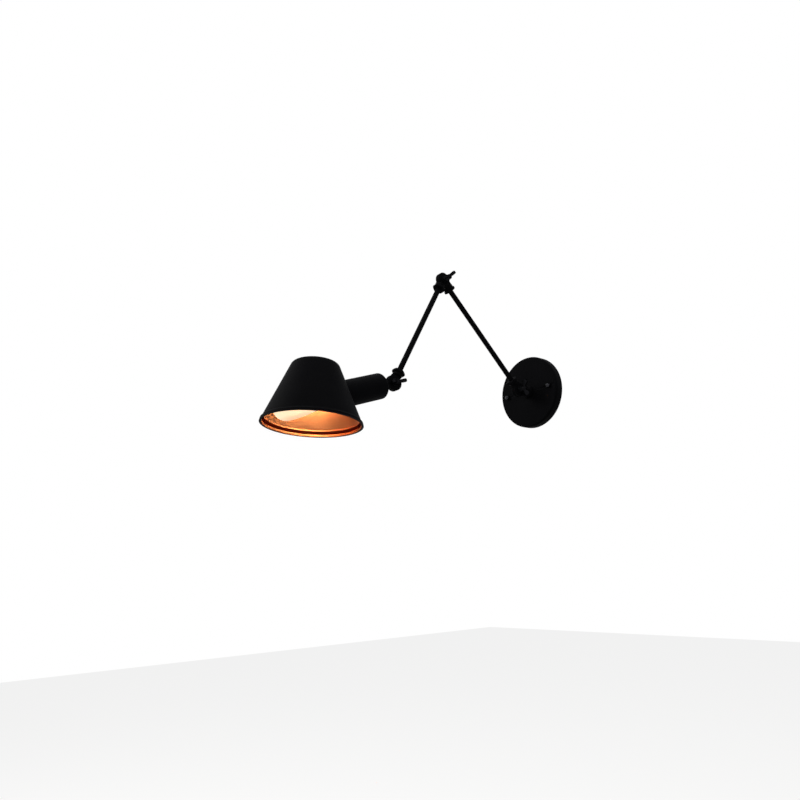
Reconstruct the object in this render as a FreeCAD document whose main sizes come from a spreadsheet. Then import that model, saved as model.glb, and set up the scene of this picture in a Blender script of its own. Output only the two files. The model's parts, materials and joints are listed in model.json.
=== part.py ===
import FreeCAD, Part
import math
import os
import re
import Sketcher

# Swing arm wall sconce.  Millimetres.  The wall is the plane y = 0 and the room lies towards -Y.
# The origin is the centre of the canopy's back rim, +X is to the right seen from the room, +Z is up.
# All hinge axes run along X.  Each arm, the head and the base stem has a local frame with its
# hinge at the origin and its own length along local Z.

# ---------------------------------------------------------------- driving sizes
SIZES = {
    # canopy and what hides behind it
    "canopy_dia": 120.0,
    "canopy_depth": 14.5,
    "canopy_wall": 1.2,
    "canopy_edge_radius": 3.2,
    "cap_nut_spacing": 88.9,
    "strap_screw_spacing": 69.85,
    "strap_screw_hole_dia": 4.6,
    "strap_length": 104.0,
    "strap_width": 20.0,
    "strap_thickness": 2.0,
    "strap_wire_hole_dia": 14.0,
    "stud_dia": 4.0,
    "stud_hole_clearance": 0.25,
    "cap_nut_across_flats": 7.0,
    "cap_nut_hex_height": 3.0,
    "cap_nut_dome_height": 3.4,
    "cap_nut_skin": 1.4,
    "stud_nut_across_flats": 7.0,
    "stud_nut_height": 2.2,
    "earth_screw_offset": 22.0,
    "earth_screw_dia": 4.0,
    "earth_screw_head_dia": 8.0,
    "earth_screw_head_height": 2.6,
    "earth_washer_dia": 9.0,
    "earth_washer_thickness": 0.8,
    "terminal_offset": 23.0,
    "terminal_width": 15.0,
    "terminal_height": 16.0,
    "terminal_depth": 8.6,
    "terminal_pitch": 7.5,
    "clamp_dia": 4.4,
    "clamp_bore": 3.0,
    "clamp_overhang": 0.8,
    "clamp_screw_dia": 2.6,
    "clamp_screw_pitch": 8.0,
    # hinges
    "base_hinge_reach": 39.0,
    "knuckle_dia": 23.2,
    "lug_thickness": 4.0,
    "lug_gap": 0.5,
    "hinge_bolt_dia": 5.0,
    "running_clearance": 0.05,
    "bolt_head_across_flats": 8.0,
    "bolt_head_height": 3.5,
    "bolt_tip_past_nut": 1.0,
    "neck_dia": 14.0,
    "elbow_neck_dia": 16.0,
    "neck_clearance": 0.45,
    "neck_end": 16.7,
    "neck_edge": 0.8,
    "lug_edge": 0.7,
    "wire_groove_inner_dia": 8.0,
    "wire_groove_outer_dia": 14.0,
    "wire_groove_depth": 2.4,
    "wire_port_dia": 4.0,
    "friction_washer_inner_dia": 14.6,
    "friction_washer_outer_dia": 22.1,
    "plain_washer_dia": 12.0,
    "plain_washer_thickness": 1.0,
    "washer_clearance": 0.15,
    "disc_spring_dia": 11.0,
    "disc_spring_thickness": 0.6,
    "disc_spring_cone": 0.5,
    "wing_hub_dia": 9.6,
    "wing_hub_top_dia": 7.8,
    "wing_hub_height": 6.5,
    "wing_lobe_radius": 4.2,
    "wing_lobe_reach": 9.4,
    "wing_lobe_height": 7.0,
    "wing_root_radius": 3.0,
    "wing_root_low": 0.8,
    "wing_root_high": 5.6,
    "wing_thickness": 4.6,
    "wing_edge": 1.1,
    # arms
    "arm_one_length": 221.5,
    "arm_two_length": 214.0,
    "arm_tube_dia": 8.2,
    "arm_tube_bore": 6.2,
    "arm_tube_start": 12.7,
    "thread_clearance": 0.05,
    "lock_nut_across_flats": 17.0,
    "lock_nut_height": 4.6,
    "cable_dia": 5.4,
    # base stem
    "stem_flange_dia": 21.0,
    "stem_flange_thickness": 5.0,
    "swivel_washer_thickness": 0.5,
    "swivel_washer_dia": 20.0,
    "nipple_dia": 10.0,
    "nipple_bore": 6.4,
    "thin_nut_across_flats": 14.0,
    "thin_nut_height": 4.0,
    "wave_washer_dia": 17.0,
    "wave_washer_thickness": 0.6,
    "tail_past_nut": 2.0,
    # head
    "cup_start": 23.0,
    "cup_reach": 90.4,
    "cup_hole_clearance": 0.2,
    "cup_dia": 36.4,
    "cup_wall": 1.0,
    "cup_end_wall": 1.2,
    "cup_corner_radius": 4.5,
    "head_nipple_start": 15.0,
    "holder_cap_start": 58.0,
    "holder_cap_length": 14.0,
    "holder_cap_dia": 27.0,
    "holder_cap_wall": 2.0,
    "holder_cap_floor": 6.0,
    "holder_dia": 28.0,
    "holder_past_shade": 24.0,
    "holder_floor": 4.0,
    "holder_mouth_dia": 18.0,
    "bulb_cap_engagement": 22.5,
    "holder_chamber_dia": 21.0,
    "shell_wall": 0.5,
    "shell_length": 20.0,
    "shade_ring_dia": 35.0,
    "shade_ring_thickness": 5.0,
    "contact_dia": 5.0,
    "contact_height": 2.0,
    # bulb
    "bulb_cap_dia": 13.86,
    "bulb_cap_length": 20.0,
    "bulb_cap_wall": 0.4,
    "bulb_button_dia": 4.4,
    "bulb_button_height": 1.2,
    "bulb_insulator_height": 2.0,
    "bulb_insulator_small_dia": 7.0,
    "bulb_insulator_large_dia": 12.0,
    "bulb_neck_overlap": 7.0,
    "bulb_glass_dia": 35.0,
    "bulb_neck_dia": 20.0,
    "bulb_glass_length": 80.0,
    "bulb_glass_wall": 0.8,
    "bulb_neck_rise": 8.0,
    # shade
    "shade_rim_dia": 130.4,
    "shade_band_dia": 128.8,
    "shade_band_height": 3.4,
    "shade_cone_dia": 123.3,
    "shade_cone_start": 7.0,
    "shade_flare_radius": 6.0,
    "shade_bead_height": 1.8,
    "shade_bead_depth": 1.0,
    "shade_roll_width": 3.2,
    "shade_roll_height": 3.6,
    "shade_roll_edge": 0.6,
    "shade_top_dia": 59.7,
    "shade_height": 82.0,
    "shade_shoulder_length": 5.3,
    "shade_wall": 1.0,
    "shade_seat_height": 49.8,
    "shade_hole_clearance": 0.2,
    # pose of the lamp as it hangs
    "arm_one_rise": 45.2,
    "arm_two_fall": 60.1,
    "cup_fall": 18.5,
    "base_wing_angle": 100.0,
    "elbow_wing_angle": 47.0,
    "head_wing_angle": 12.0,
}

DOC = FreeCAD.newDocument("swing_arm_wall_sconce")
SHEET = DOC.addObject("Spreadsheet::Sheet", "Sizes")
for row, (alias, number) in enumerate(SIZES.items(), start=1):
    SHEET.set(f"A{row}", alias)
    SHEET.set(f"B{row}", str(number))
    SHEET.setAlias(f"B{row}", alias)
DOC.recompute()

WORD = re.compile(r"[a-z][a-z_]+[a-z]")
X_AXIS = FreeCAD.Vector(1, 0, 0)
Y_AXIS = FreeCAD.Vector(0, 1, 0)
Z_AXIS = FreeCAD.Vector(0, 0, 1)
ALONG_X = FreeCAD.Rotation(Y_AXIS, 90)
ALONG_Y = FreeCAD.Rotation(X_AXIS, -90)
NODES = []


# ---------------------------------------------------------------- helpers
def linked(expression):
    """Write an expression of size names so that each name points at the sheet."""
    def point_at_sheet(word):
        name = word.group(0)
        return "Sizes." + name if name in SIZES else name
    return WORD.sub(point_at_sheet, str(expression))


def value(expression):
    """The number that an expression of size names stands for now."""
    result = SHEET.evalExpression(linked(expression))
    return float(getattr(result, "Value", result))


def bind(thing, **properties):
    """Bind properties of a document object to expressions of size names."""
    for name, expression in properties.items():
        thing.setExpression(name, linked(expression))
    return thing


def place(x=0, y=0, z=0, rotation=None):
    """A placement from expressions of size names."""
    spot = FreeCAD.Vector(value(x), value(y), value(z))
    return FreeCAD.Placement(spot, rotation or FreeCAD.Rotation())


def hold_point(sketch, edge, corner, x, y):
    """Fix one end of a sketch edge at a place given by two expressions."""
    for kind, expression in (("DistanceX", x), ("DistanceY", y)):
        number = sketch.addConstraint(Sketcher.Constraint(kind, -1, 1, edge, corner, value(expression)))
        sketch.setExpression(f"Constraints[{number}]", linked(expression))


def attach(body, name, role):
    """A new sketch of a body on one of the body's own origin planes."""
    sketch = body.newObject("Sketcher::SketchObject", name)
    plane = next(feature for feature in body.Origin.OriginFeatures if feature.Role == role)
    sketch.AttachmentSupport = [(plane, "")]
    sketch.MapMode = "FlatFace"
    return sketch


def draw_arc(sketch, start, end, point):
    """Add an arc that ends at a point; it bulges left (1) or right (-1) of the way there."""
    radius, bulge = point[2:]
    chord = end - start
    left = FreeCAD.Vector(-chord.y, chord.x, 0).normalize()
    rise = value(radius) - math.sqrt(max(value(radius) ** 2 - chord.Length ** 2 / 4, 0))
    middle = (start + end) * 0.5 + left * rise * bulge
    curve = Part.Arc(start, middle, end) if bulge < 0 else Part.Arc(end, middle, start)
    edge = sketch.addGeometry(curve, False)
    number = sketch.addConstraint(Sketcher.Constraint("Radius", edge, value(radius)))
    sketch.setExpression(f"Constraints[{number}]", linked(radius))
    return edge, (1, 2) if bulge < 0 else (2, 1)


def draw_outline(sketch, points):
    """A closed outline.  A point is (x, y), or (x, y, radius, bulge) where an arc leads to it."""
    spots = [FreeCAD.Vector(value(point[0]), value(point[1]), 0) for point in points]
    for index, point in enumerate(points):
        start, end = spots[index - 1], spots[index]
        if len(point) == 4:
            edge, corners = draw_arc(sketch, start, end, point)
        else:
            edge, corners = sketch.addGeometry(Part.LineSegment(start, end), False), (1, 2)
        hold_point(sketch, edge, corners[0], points[index - 1][0], points[index - 1][1])
        hold_point(sketch, edge, corners[1], point[0], point[1])


def turned(label, points, placement=None):
    """A body of revolution about its own Z axis from an outline of (radius, height) points."""
    body = DOC.addObject("PartDesign::Body", label)
    sketch = attach(body, label + "_outline", "XZ_Plane")
    draw_outline(sketch, points)
    turn = body.newObject("PartDesign::Revolution", label + "_turn")
    turn.Profile = sketch
    turn.ReferenceAxis = (sketch, ["V_Axis"])
    turn.Angle = 360
    sketch.Visibility = False
    if placement:
        body.Placement = placement
    return body


def ring(inner, outer, low, high):
    """The outline of a plain ring, or of a rod where the inner radius is 0."""
    return [(inner, low), (outer, low), (outer, high), (inner, high)]


def rod(label, radius, low, high, placement=None, axis=None):
    """A Part cylinder about Z, or about another axis, between two heights."""
    solid = bind(DOC.addObject("Part::Cylinder", label), Radius=radius, Height=f"({high}) - ({low})")
    turn = FreeCAD.Placement(FreeCAD.Vector(), axis or FreeCAD.Rotation())
    solid.Placement = (placement or FreeCAD.Placement()).multiply(turn).multiply(place(z=low))
    return solid


def joined(label, pieces):
    """Several solids fused into one."""
    fuse = DOC.addObject("Part::MultiFuse", label)
    fuse.Shapes = pieces
    fuse.Refine = True
    return fuse


def cut(label, base, tools):
    """A solid less one or more tools."""
    result = DOC.addObject("Part::Cut", label)
    result.Base = base
    result.Tool = tools[0] if len(tools) == 1 else joined(label + "_tools", tools)
    result.Refine = True
    return result


def group(label, pieces):
    """Like pieces that share one node as separate solids."""
    together = DOC.addObject("Part::Compound", label)
    together.Links = pieces
    return together


def node(label, thing, placement=None):
    """Name a finished sub-part; its label names its file."""
    thing.Label = label
    if placement:
        thing.Placement = placement
    NODES.append(thing)
    return thing


def hexagon(label, across_flats, low, high, bore_radius, placement=None):
    """A hexagon piece with chamfered corners and a round bore, about its own Z axis."""
    flat, corner = f"({across_flats}) / 2", f"({across_flats}) / sqrt(3)"
    bevel = f"(({corner}) - ({flat})) / 2"
    blank = turned(label + "_blank", [
        (bore_radius, low), (flat, low), (corner, f"({low}) + {bevel}"),
        (corner, f"({high}) - {bevel}"), (flat, high), (bore_radius, high)])
    prism = bind(DOC.addObject("Part::Prism", label + "_flats"), Circumradius=corner,
                 Height=f"({high}) - ({low})")
    prism.Polygon = 6
    prism.Placement = place(z=low)
    result = DOC.addObject("Part::Common", label)
    result.Base = blank
    result.Tool = prism
    if placement:
        result.Placement = placement
    return result


# ---------------------------------------------------------------- frames
WALL = FreeCAD.Placement(FreeCAD.Vector(), FreeCAD.Rotation(X_AXIS, 90))


def length_frame(pivot, turn):
    """The frame of a piece whose length runs from its hinge along local Z."""
    return FreeCAD.Placement(pivot, FreeCAD.Rotation(X_AXIS, turn))


def far_end(frame, length):
    """The point on a frame's Z axis at a distance from its origin."""
    return frame.multVec(FreeCAD.Vector(0, 0, value(length)))


BASE_PIVOT = FreeCAD.Vector(0, -value("base_hinge_reach"), 0)
STEM = length_frame(BASE_PIVOT, -90)
ARM_ONE = length_frame(BASE_PIVOT, 90 - value("arm_one_rise"))
ELBOW = far_end(ARM_ONE, "arm_one_length")
ARM_TWO = length_frame(ELBOW, 90 + value("arm_two_fall"))
WRIST = far_end(ARM_TWO, "arm_two_length")
HEAD = length_frame(WRIST, 90 + value("cup_fall"))

# The shade's wall is a cone.  Its slope makes the cup stand square on it.
CONE_RISE = "(shade_height - shade_cone_start)"
CONE_RUN = "((shade_cone_dia - shade_top_dia) / 2)"
CONE_SLANT = f"sqrt({CONE_RISE} ^ 2 + {CONE_RUN} ^ 2)"
CONE_SIN = f"({CONE_RUN} / {CONE_SLANT})"
CONE_COS = f"({CONE_RISE} / {CONE_SLANT})"
CONE_TAN = f"({CONE_RUN} / {CONE_RISE})"
SEAT_RADIUS = f"(shade_top_dia / 2 + (shade_height - shade_seat_height) * {CONE_TAN})"
CONE_TURN = math.degrees(math.atan(value(CONE_TAN)))


# ---------------------------------------------------------------- wall side
def build_canopy():
    """A shallow spun cup with a rounded front edge, held by two cap nuts."""
    outer, front, wall, edge = "canopy_dia / 2", "canopy_depth", "canopy_wall", "canopy_edge_radius"
    hole = "nipple_dia / 2 + running_clearance"
    shell = turned("canopy_shell", [
        (hole, f"{front} - {wall}"), (f"{outer} - {edge}", f"{front} - {wall}"),
        (f"{outer} - {wall}", f"{front} - {edge}", f"{edge} - {wall}", 1),
        (f"{outer} - {wall}", 0), (outer, 0), (outer, f"{front} - {edge}"),
        (f"{outer} - {edge}", front, edge, -1), (hole, front)])
    holes = [rod(f"canopy_hole_{side}", "stud_dia / 2 + stud_hole_clearance", f"{front} - 2 * {wall}",
                 f"{front} + {wall}", place(x=f"{sign} * cap_nut_spacing / 2"))
             for side, sign in (("left", -1), ("right", 1))]
    node("canopy", cut("canopy_cut", shell, holes), WALL)


def build_wall_bar():
    """The strap that is screwed to the wall box, with its studs, nuts and earth screw."""
    bar = bind(DOC.addObject("Part::Box", "strap_bar"), Length="strap_length", Width="strap_width",
               Height="strap_thickness")
    bar.Placement = place(x="-strap_length / 2", y="-strap_width / 2")
    past = "2 * strap_thickness"
    stud_spots = [(side, f"{sign} * cap_nut_spacing / 2") for side, sign in (("left", -1), ("right", 1))]
    holes = [rod("strap_wire_hole", "strap_wire_hole_dia / 2", f"-{past}", past)]
    for side, sign in (("left", -1), ("right", 1)):
        spot = place(x=f"{sign} * strap_screw_spacing / 2")
        holes.append(rod(f"strap_screw_hole_{side}", "strap_screw_hole_dia / 2", f"-{past}", past, spot))
    for side, x in stud_spots:
        holes.append(rod(f"strap_stud_hole_{side}", "stud_dia / 2 + thread_clearance", f"-{past}", past,
                         place(x=x)))
    earth_spot = place(x="-earth_screw_offset")
    holes.append(rod("strap_earth_hole", "earth_screw_dia / 2 + thread_clearance", f"-{past}", past,
                     earth_spot))
    node("mounting_strap", cut("strap_cut", bar, holes), WALL)

    studs, stud_nuts, cap_nuts = [], [], []
    tip = "canopy_depth + cap_nut_hex_height"
    dome = "(cap_nut_across_flats / 2)"
    for side, x in stud_spots:
        studs.append(rod(f"stud_{side}", "stud_dia / 2", "0", tip, place(x=x)))
        stud_nuts.append(hexagon(f"stud_nut_{side}", "stud_nut_across_flats", "strap_thickness",
                                 "strap_thickness + stud_nut_height", "stud_dia / 2 + thread_clearance",
                                 place(x=x)))
        skirt = hexagon(f"cap_nut_skirt_{side}", "cap_nut_across_flats", "canopy_depth", tip,
                        "stud_dia / 2 + thread_clearance")
        cap = turned(f"cap_nut_dome_{side}", [
            (0, f"{tip} + cap_nut_skin"), ("stud_dia / 2 + thread_clearance", f"{tip} + cap_nut_skin / 2"),
            ("stud_dia / 2 + thread_clearance", tip), (dome, tip),
            (0, f"{tip} + cap_nut_dome_height",
             f"({dome} ^ 2 + cap_nut_dome_height ^ 2) / 2 / cap_nut_dome_height", -1)])
        whole = joined(f"cap_nut_{side}", [skirt, cap])
        whole.Placement = place(x=x)
        cap_nuts.append(whole)
    node("canopy_studs", group("studs", studs), WALL)
    node("stud_nuts", group("stud_nut_pair", stud_nuts), WALL)
    node("canopy_cap_nuts", group("cap_nut_pair", cap_nuts), WALL)

    seat = "strap_thickness + earth_washer_thickness"
    head_radius, shank = "earth_screw_head_dia / 2", "earth_screw_dia / 2"
    screw = turned("earth_screw_body", [
        (0, 0), (shank, 0), (shank, seat), (head_radius, seat),
        (head_radius, f"{seat} + earth_screw_head_height / 2"),
        (f"{head_radius} - 1", f"{seat} + earth_screw_head_height"),
        (0, f"{seat} + earth_screw_head_height")])
    node("earth_screw", screw, WALL.multiply(earth_spot))
    washer = turned("earth_washer_body", ring(
        "earth_screw_dia / 2 + washer_clearance", "earth_washer_dia / 2", "strap_thickness", seat))
    node("earth_washer", washer, WALL.multiply(earth_spot))


def build_terminal_block():
    """The two-way terminal block that sits on the strap, with its brass clamps and screws."""
    low, high = "strap_thickness", "strap_thickness + terminal_depth"
    centre = f"{low} + terminal_depth / 2"
    block = bind(DOC.addObject("Part::Box", "terminal_box"), Length="terminal_width",
                 Width="terminal_height", Height="terminal_depth")
    block.Placement = place(x="terminal_offset - terminal_width / 2", y="-terminal_height / 2", z=low)
    tools, clamps, screws = [], [], []
    reach = "terminal_height / 2 + clamp_overhang"
    for way, sign in (("live", -1), ("neutral", 1)):
        spot = place(x=f"terminal_offset + {sign} * terminal_pitch / 2", z=centre)
        tools.append(rod(f"terminal_bore_{way}", "clamp_dia / 2", "-terminal_height", "terminal_height", spot,
                         ALONG_Y))
        sleeve = rod(f"clamp_sleeve_{way}", "clamp_dia / 2", f"-({reach})", reach, spot, ALONG_Y)
        bores = [rod(f"clamp_bore_{way}", "clamp_bore / 2", "-terminal_height", "terminal_height", spot,
                     ALONG_Y)]
        for end, step in (("upper", 1), ("lower", -1)):
            hole = place(x=f"terminal_offset + {sign} * terminal_pitch / 2",
                         y=f"{step} * clamp_screw_pitch / 2")
            screws.append(rod(f"clamp_screw_{way}_{end}", "clamp_screw_dia / 2", centre, high, hole))
            tools.append(rod(f"terminal_screw_hole_{way}_{end}", "clamp_screw_dia / 2", centre,
                             f"{high} + clamp_dia", hole))
            bores.append(rod(f"clamp_screw_hole_{way}_{end}", "clamp_screw_dia / 2", centre, high, hole))
        clamps.append(cut(f"clamp_{way}", sleeve, bores))
    node("terminal_block", cut("terminal_cut", block, tools), WALL)
    node("terminal_clamps", group("clamp_pair", clamps), WALL)
    node("terminal_screws", group("clamp_screws", screws), WALL)


# ---------------------------------------------------------------- hinges
NECK_START = "(knuckle_dia / 2 + neck_clearance)"
LUG_FACE = "(lug_gap / 2 + lug_thickness)"
HINGE_BORE = "hinge_bolt_dia / 2 + running_clearance"
SPRING_RISE = "(disc_spring_thickness + disc_spring_cone)"
SPRING_COUNT = 5


def neck_outline(top, dia="neck_dia"):
    """A round neck with broken edges, from the clearance round the knuckle to a given height."""
    radius, edge = f"{dia} / 2", "neck_edge"
    return [(0, NECK_START), (f"{radius} - {edge}", NECK_START), (radius, f"{NECK_START} + {edge}"),
            (radius, f"{top} - {edge}"), (f"{radius} - {edge}", top), (0, top)]


def knuckle(label, side, frame, stem_outline, bores):
    """Half of a lapped hinge: a lug on one side of the middle plane that carries a round stem."""
    radius, edge = "knuckle_dia / 2", "lug_edge"
    if side > 0:
        low, high = "lug_gap / 2", LUG_FACE
        outline = [
            (0, low), (radius, low), (radius, f"{high} - {edge}"), (f"{radius} - {edge}", high), (0, high)]
        groove_low, groove_high = "0", "lug_gap / 2 + wire_groove_depth"
    else:
        low, high = f"-{LUG_FACE}", "-lug_gap / 2"
        outline = [
            (0, low), (f"{radius} - {edge}", low), (radius, f"{low} + {edge}"), (radius, high), (0, high)]
        groove_low, groove_high = "-lug_gap / 2 - wire_groove_depth", "0"
    across = FreeCAD.Placement(FreeCAD.Vector(), ALONG_X)
    lug = turned(label + "_lug", outline, across)
    web = bind(DOC.addObject("Part::Box", label + "_web"), Length="lug_thickness", Width="neck_dia",
               Height=f"{NECK_START} + neck_edge")
    web.Placement = place(x=low, y="-neck_dia / 2")
    stem = turned(label + "_stem", stem_outline)
    groove = turned(label + "_groove", ring("wire_groove_inner_dia / 2", "wire_groove_outer_dia / 2",
                                            groove_low, groove_high), across)
    tools = [
        rod(label + "_hinge_hole", HINGE_BORE, "-knuckle_dia", "knuckle_dia", None, ALONG_X),
        groove,
        rod(label + "_wire_port", "wire_port_dia / 2", "(wire_groove_inner_dia + wire_port_dia) / 2",
            "arm_tube_start", place(x=f"{side} * (lug_gap + wire_groove_depth) / 2")),
    ]
    tools += [rod(f"{label}_bore_{index}", bore_radius, start, end)
              for index, (bore_radius, start, end) in enumerate(bores)]
    node(label, cut(label + "_cut", joined(label + "_cast", [lug, web, stem]), tools), frame)


def wing_nut_shape():
    """A wing nut about Z, seated at 0: a tapered hub with two rounded wings along X."""
    lobe = FreeCAD.Vector(value("wing_lobe_reach"), 0, value("wing_lobe_height"))
    radius = value("wing_lobe_radius")
    root = value("wing_root_radius")
    thickness = value("wing_thickness")

    def touch(height, turn):
        """Where the line from the hub at a height touches the lobe."""
        away = FreeCAD.Vector(root, 0, height) - lobe
        swing = math.degrees(math.acos(radius / away.Length))
        return lobe + FreeCAD.Rotation(Y_AXIS, turn * swing).multVec(away.normalize() * radius)

    low, high = value("wing_root_low"), value("wing_root_high")
    below, above = touch(low, -1), touch(high, 1)
    if below.z > above.z:
        below, above = touch(low, 1), touch(high, -1)
    outside = lobe + (lobe - FreeCAD.Vector(root, 0, (low + high) / 2)).normalize() * radius
    corners = [FreeCAD.Vector(root, 0, high), FreeCAD.Vector(root, 0, low)]
    outline = Part.Wire([
        Part.makeLine(corners[0], corners[1]), Part.makeLine(corners[1], below),
        Part.Arc(below, outside, above).toShape(), Part.makeLine(above, corners[0])])
    wing = Part.Face(outline).extrude(FreeCAD.Vector(0, thickness, 0))
    wing.translate(FreeCAD.Vector(0, -thickness / 2, 0))
    rims = [edge for edge in wing.Edges
            if edge.CenterOfMass.x > root + value("wing_edge") and abs(edge.CenterOfMass.y) > thickness / 2.1]
    wing = wing.makeFillet(value("wing_edge"), rims)
    hub = Part.makeCone(value("wing_hub_dia") / 2, value("wing_hub_top_dia") / 2, value("wing_hub_height"))
    other = wing.copy()
    other.rotate(FreeCAD.Vector(), Z_AXIS, 180)
    bore = Part.makeCylinder(value(HINGE_BORE), 3 * value("wing_hub_height"),
                             FreeCAD.Vector(0, 0, -value("wing_hub_height")))
    return hub.fuse([wing, other]).cut(bore).removeSplitter()


def hinge_hardware(name, pivot, springs, wing_angle):
    """What clamps a hinge: bolt from the -X side, friction washer, washers, springs and wing nut."""
    axle = FreeCAD.Placement(pivot, ALONG_X)
    washer_top = f"({LUG_FACE} + plain_washer_thickness)"
    nut_seat = f"({washer_top} + {springs} * {SPRING_RISE})"
    head = hexagon(name + "_bolt_head", "bolt_head_across_flats", f"-{LUG_FACE} - bolt_head_height",
                   f"-{LUG_FACE}", "0")
    shank = rod(name + "_bolt_shank", "hinge_bolt_dia / 2", f"-{LUG_FACE}",
                f"{nut_seat} + wing_hub_height + bolt_tip_past_nut")
    node(name + "_bolt", joined(name + "_bolt_body", [head, shank]), axle)
    node(name + "_friction_washer", turned(name + "_friction_ring", ring(
        "friction_washer_inner_dia / 2", "friction_washer_outer_dia / 2", "-lug_gap / 2", "lug_gap / 2")),
         axle)
    hole = "hinge_bolt_dia / 2 + washer_clearance"
    node(name + "_washer", turned(name + "_washer_ring", ring(
        hole, "plain_washer_dia / 2", LUG_FACE, washer_top)), axle)
    outer, thickness, cone = "disc_spring_dia / 2", "disc_spring_thickness", "disc_spring_cone"
    stack = []
    for index in range(springs):
        start = f"({washer_top} + {index} * {SPRING_RISE})"
        inside, outside = (f"{start} + {cone}", start) if index % 2 == 0 else (start, f"{start} + {cone}")
        stack.append(turned(f"{name}_spring_{index}", [
            (hole, inside), (outer, outside), (outer, f"{outside} + {thickness}"),
            (hole, f"{inside} + {thickness}")]))
    if stack:
        node(name + "_disc_springs", group(name + "_spring_stack", stack), axle)
    nut = DOC.addObject("Part::Feature", name + "_wing")
    nut.Shape = wing_nut_shape()
    spin = FreeCAD.Placement(FreeCAD.Vector(0, 0, value(nut_seat)),
                             FreeCAD.Rotation(Z_AXIS, 90 + value(wing_angle)))
    node(name + "_wing_nut", nut, axle.multiply(spin))


# ---------------------------------------------------------------- base stem
FLANGE_BACK = "(base_hinge_reach - canopy_depth - swivel_washer_thickness)"
FLANGE_FRONT = f"({FLANGE_BACK} - stem_flange_thickness)"
CANOPY_INSIDE = "(base_hinge_reach - canopy_depth + canopy_wall)"
WASHER_BACK = f"({CANOPY_INSIDE} + plain_washer_thickness)"
WAVE_BACK = f"({WASHER_BACK} + wave_washer_thickness)"
NUT_BACK = f"({WAVE_BACK} + thin_nut_height)"
TAIL_END = f"({NUT_BACK} + tail_past_nut)"
NIPPLE_THREAD = "nipple_dia / 2 + thread_clearance"


def build_base_stem():
    """The stem that turns in the middle of the canopy and carries the first hinge."""
    flange, neck, tail, edge = "stem_flange_dia / 2", "neck_dia / 2", "nipple_dia / 2", "neck_edge"
    outline = [
        (0, NECK_START), (f"{neck} - {edge}", NECK_START), (neck, f"{NECK_START} + {edge}"),
        (neck, FLANGE_FRONT), (f"{flange} - {edge}", FLANGE_FRONT), (flange, f"{FLANGE_FRONT} + {edge}"),
        (flange, FLANGE_BACK), (tail, FLANGE_BACK), (tail, TAIL_END), (0, TAIL_END)]
    knuckle("base_stem_knuckle", -1, STEM, outline, [
        ("nipple_bore / 2", "arm_tube_start", f"{TAIL_END} + neck_edge")])
    loose = "nipple_dia / 2 + washer_clearance"
    node("swivel_fibre_washer", turned("swivel_ring", ring(
        loose, "swivel_washer_dia / 2", FLANGE_BACK, f"{FLANGE_BACK} + swivel_washer_thickness")), STEM)
    node("swivel_plain_washer", turned("swivel_plain_ring", ring(
        loose, "wave_washer_dia / 2", CANOPY_INSIDE, WASHER_BACK)), STEM)
    node("swivel_wave_washer", turned("swivel_wave_ring", ring(
        loose, "wave_washer_dia / 2", WASHER_BACK, WAVE_BACK)), STEM)
    node("swivel_lock_nut", hexagon(
        "swivel_nut", "thin_nut_across_flats", WAVE_BACK, NUT_BACK, NIPPLE_THREAD), STEM)


# ---------------------------------------------------------------- arms
def build_arm(name, side, frame, length, first_end, second_end):
    """A tube screwed into a knuckle half at each end, with lock nuts and the cable inside."""
    other = far_end(frame, length)
    back = FreeCAD.Placement(other, frame.Rotation.multiply(FreeCAD.Rotation(X_AXIS, 180)))
    bore = [("arm_tube_dia / 2 + thread_clearance", "arm_tube_start", "neck_end + neck_edge")]
    for end, spot in ((first_end, frame), (second_end, back)):
        dia = "elbow_neck_dia" if end == "upper" else "neck_dia"
        knuckle(f"{name}_{end}_knuckle", side, spot, neck_outline("neck_end", dia), bore)
        nut = hexagon(f"{name}_{end}_nut", "lock_nut_across_flats", "neck_end", "neck_end + lock_nut_height",
                      "arm_tube_dia / 2 + thread_clearance")
        node(f"{name}_{end}_lock_nut", nut, spot)
    stop = f"{length} - arm_tube_start"
    node(f"{name}_tube", turned(f"{name}_pipe", ring("arm_tube_bore / 2", "arm_tube_dia / 2",
                                                     "arm_tube_start", stop)), frame)
    node(f"{name}_cable", turned(f"{name}_cord", ring(0, "cable_dia / 2", "arm_tube_start", stop)), frame)


# ---------------------------------------------------------------- head
HOLDER_BACK = "(holder_cap_start + holder_cap_length)"
HOLDER_FRONT = "(cup_reach + holder_past_shade)"
BULB_SEAT = f"({HOLDER_FRONT} - bulb_cap_engagement)"
HOLDER_FLOOR = f"({BULB_SEAT} - contact_height)"
SHELL_INNER = "bulb_cap_dia / 2 + running_clearance"
SHELL_OUTER = f"{SHELL_INNER} + shell_wall"


def shade_frame():
    """The shade's own frame: origin in the middle of its rim, Z up its axis."""
    lean = FreeCAD.Rotation(X_AXIS, value("cup_fall") - CONE_TURN)
    seat = far_end(HEAD, "cup_reach")
    from_rim = FreeCAD.Vector(0, value(SEAT_RADIUS), value("shade_seat_height"))
    return FreeCAD.Placement(seat - lean.multVec(from_rim), lean)


def ring_seat():
    """How far along the cup's axis the flat ring touches the inside of the cone."""
    radius, half = value(SEAT_RADIUS), value("shade_ring_dia") / 2
    sine, cosine = value(CONE_SIN), value(CONE_COS)
    inner = radius - value("shade_wall") / cosine
    widening = sine * sine / cosine
    a = cosine ** 2 - widening ** 2
    b = radius * cosine + inner * widening
    c = radius ** 2 + half ** 2 - inner ** 2
    return value("cup_reach + running_clearance") + (b - math.sqrt(b * b - a * c)) / a


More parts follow.
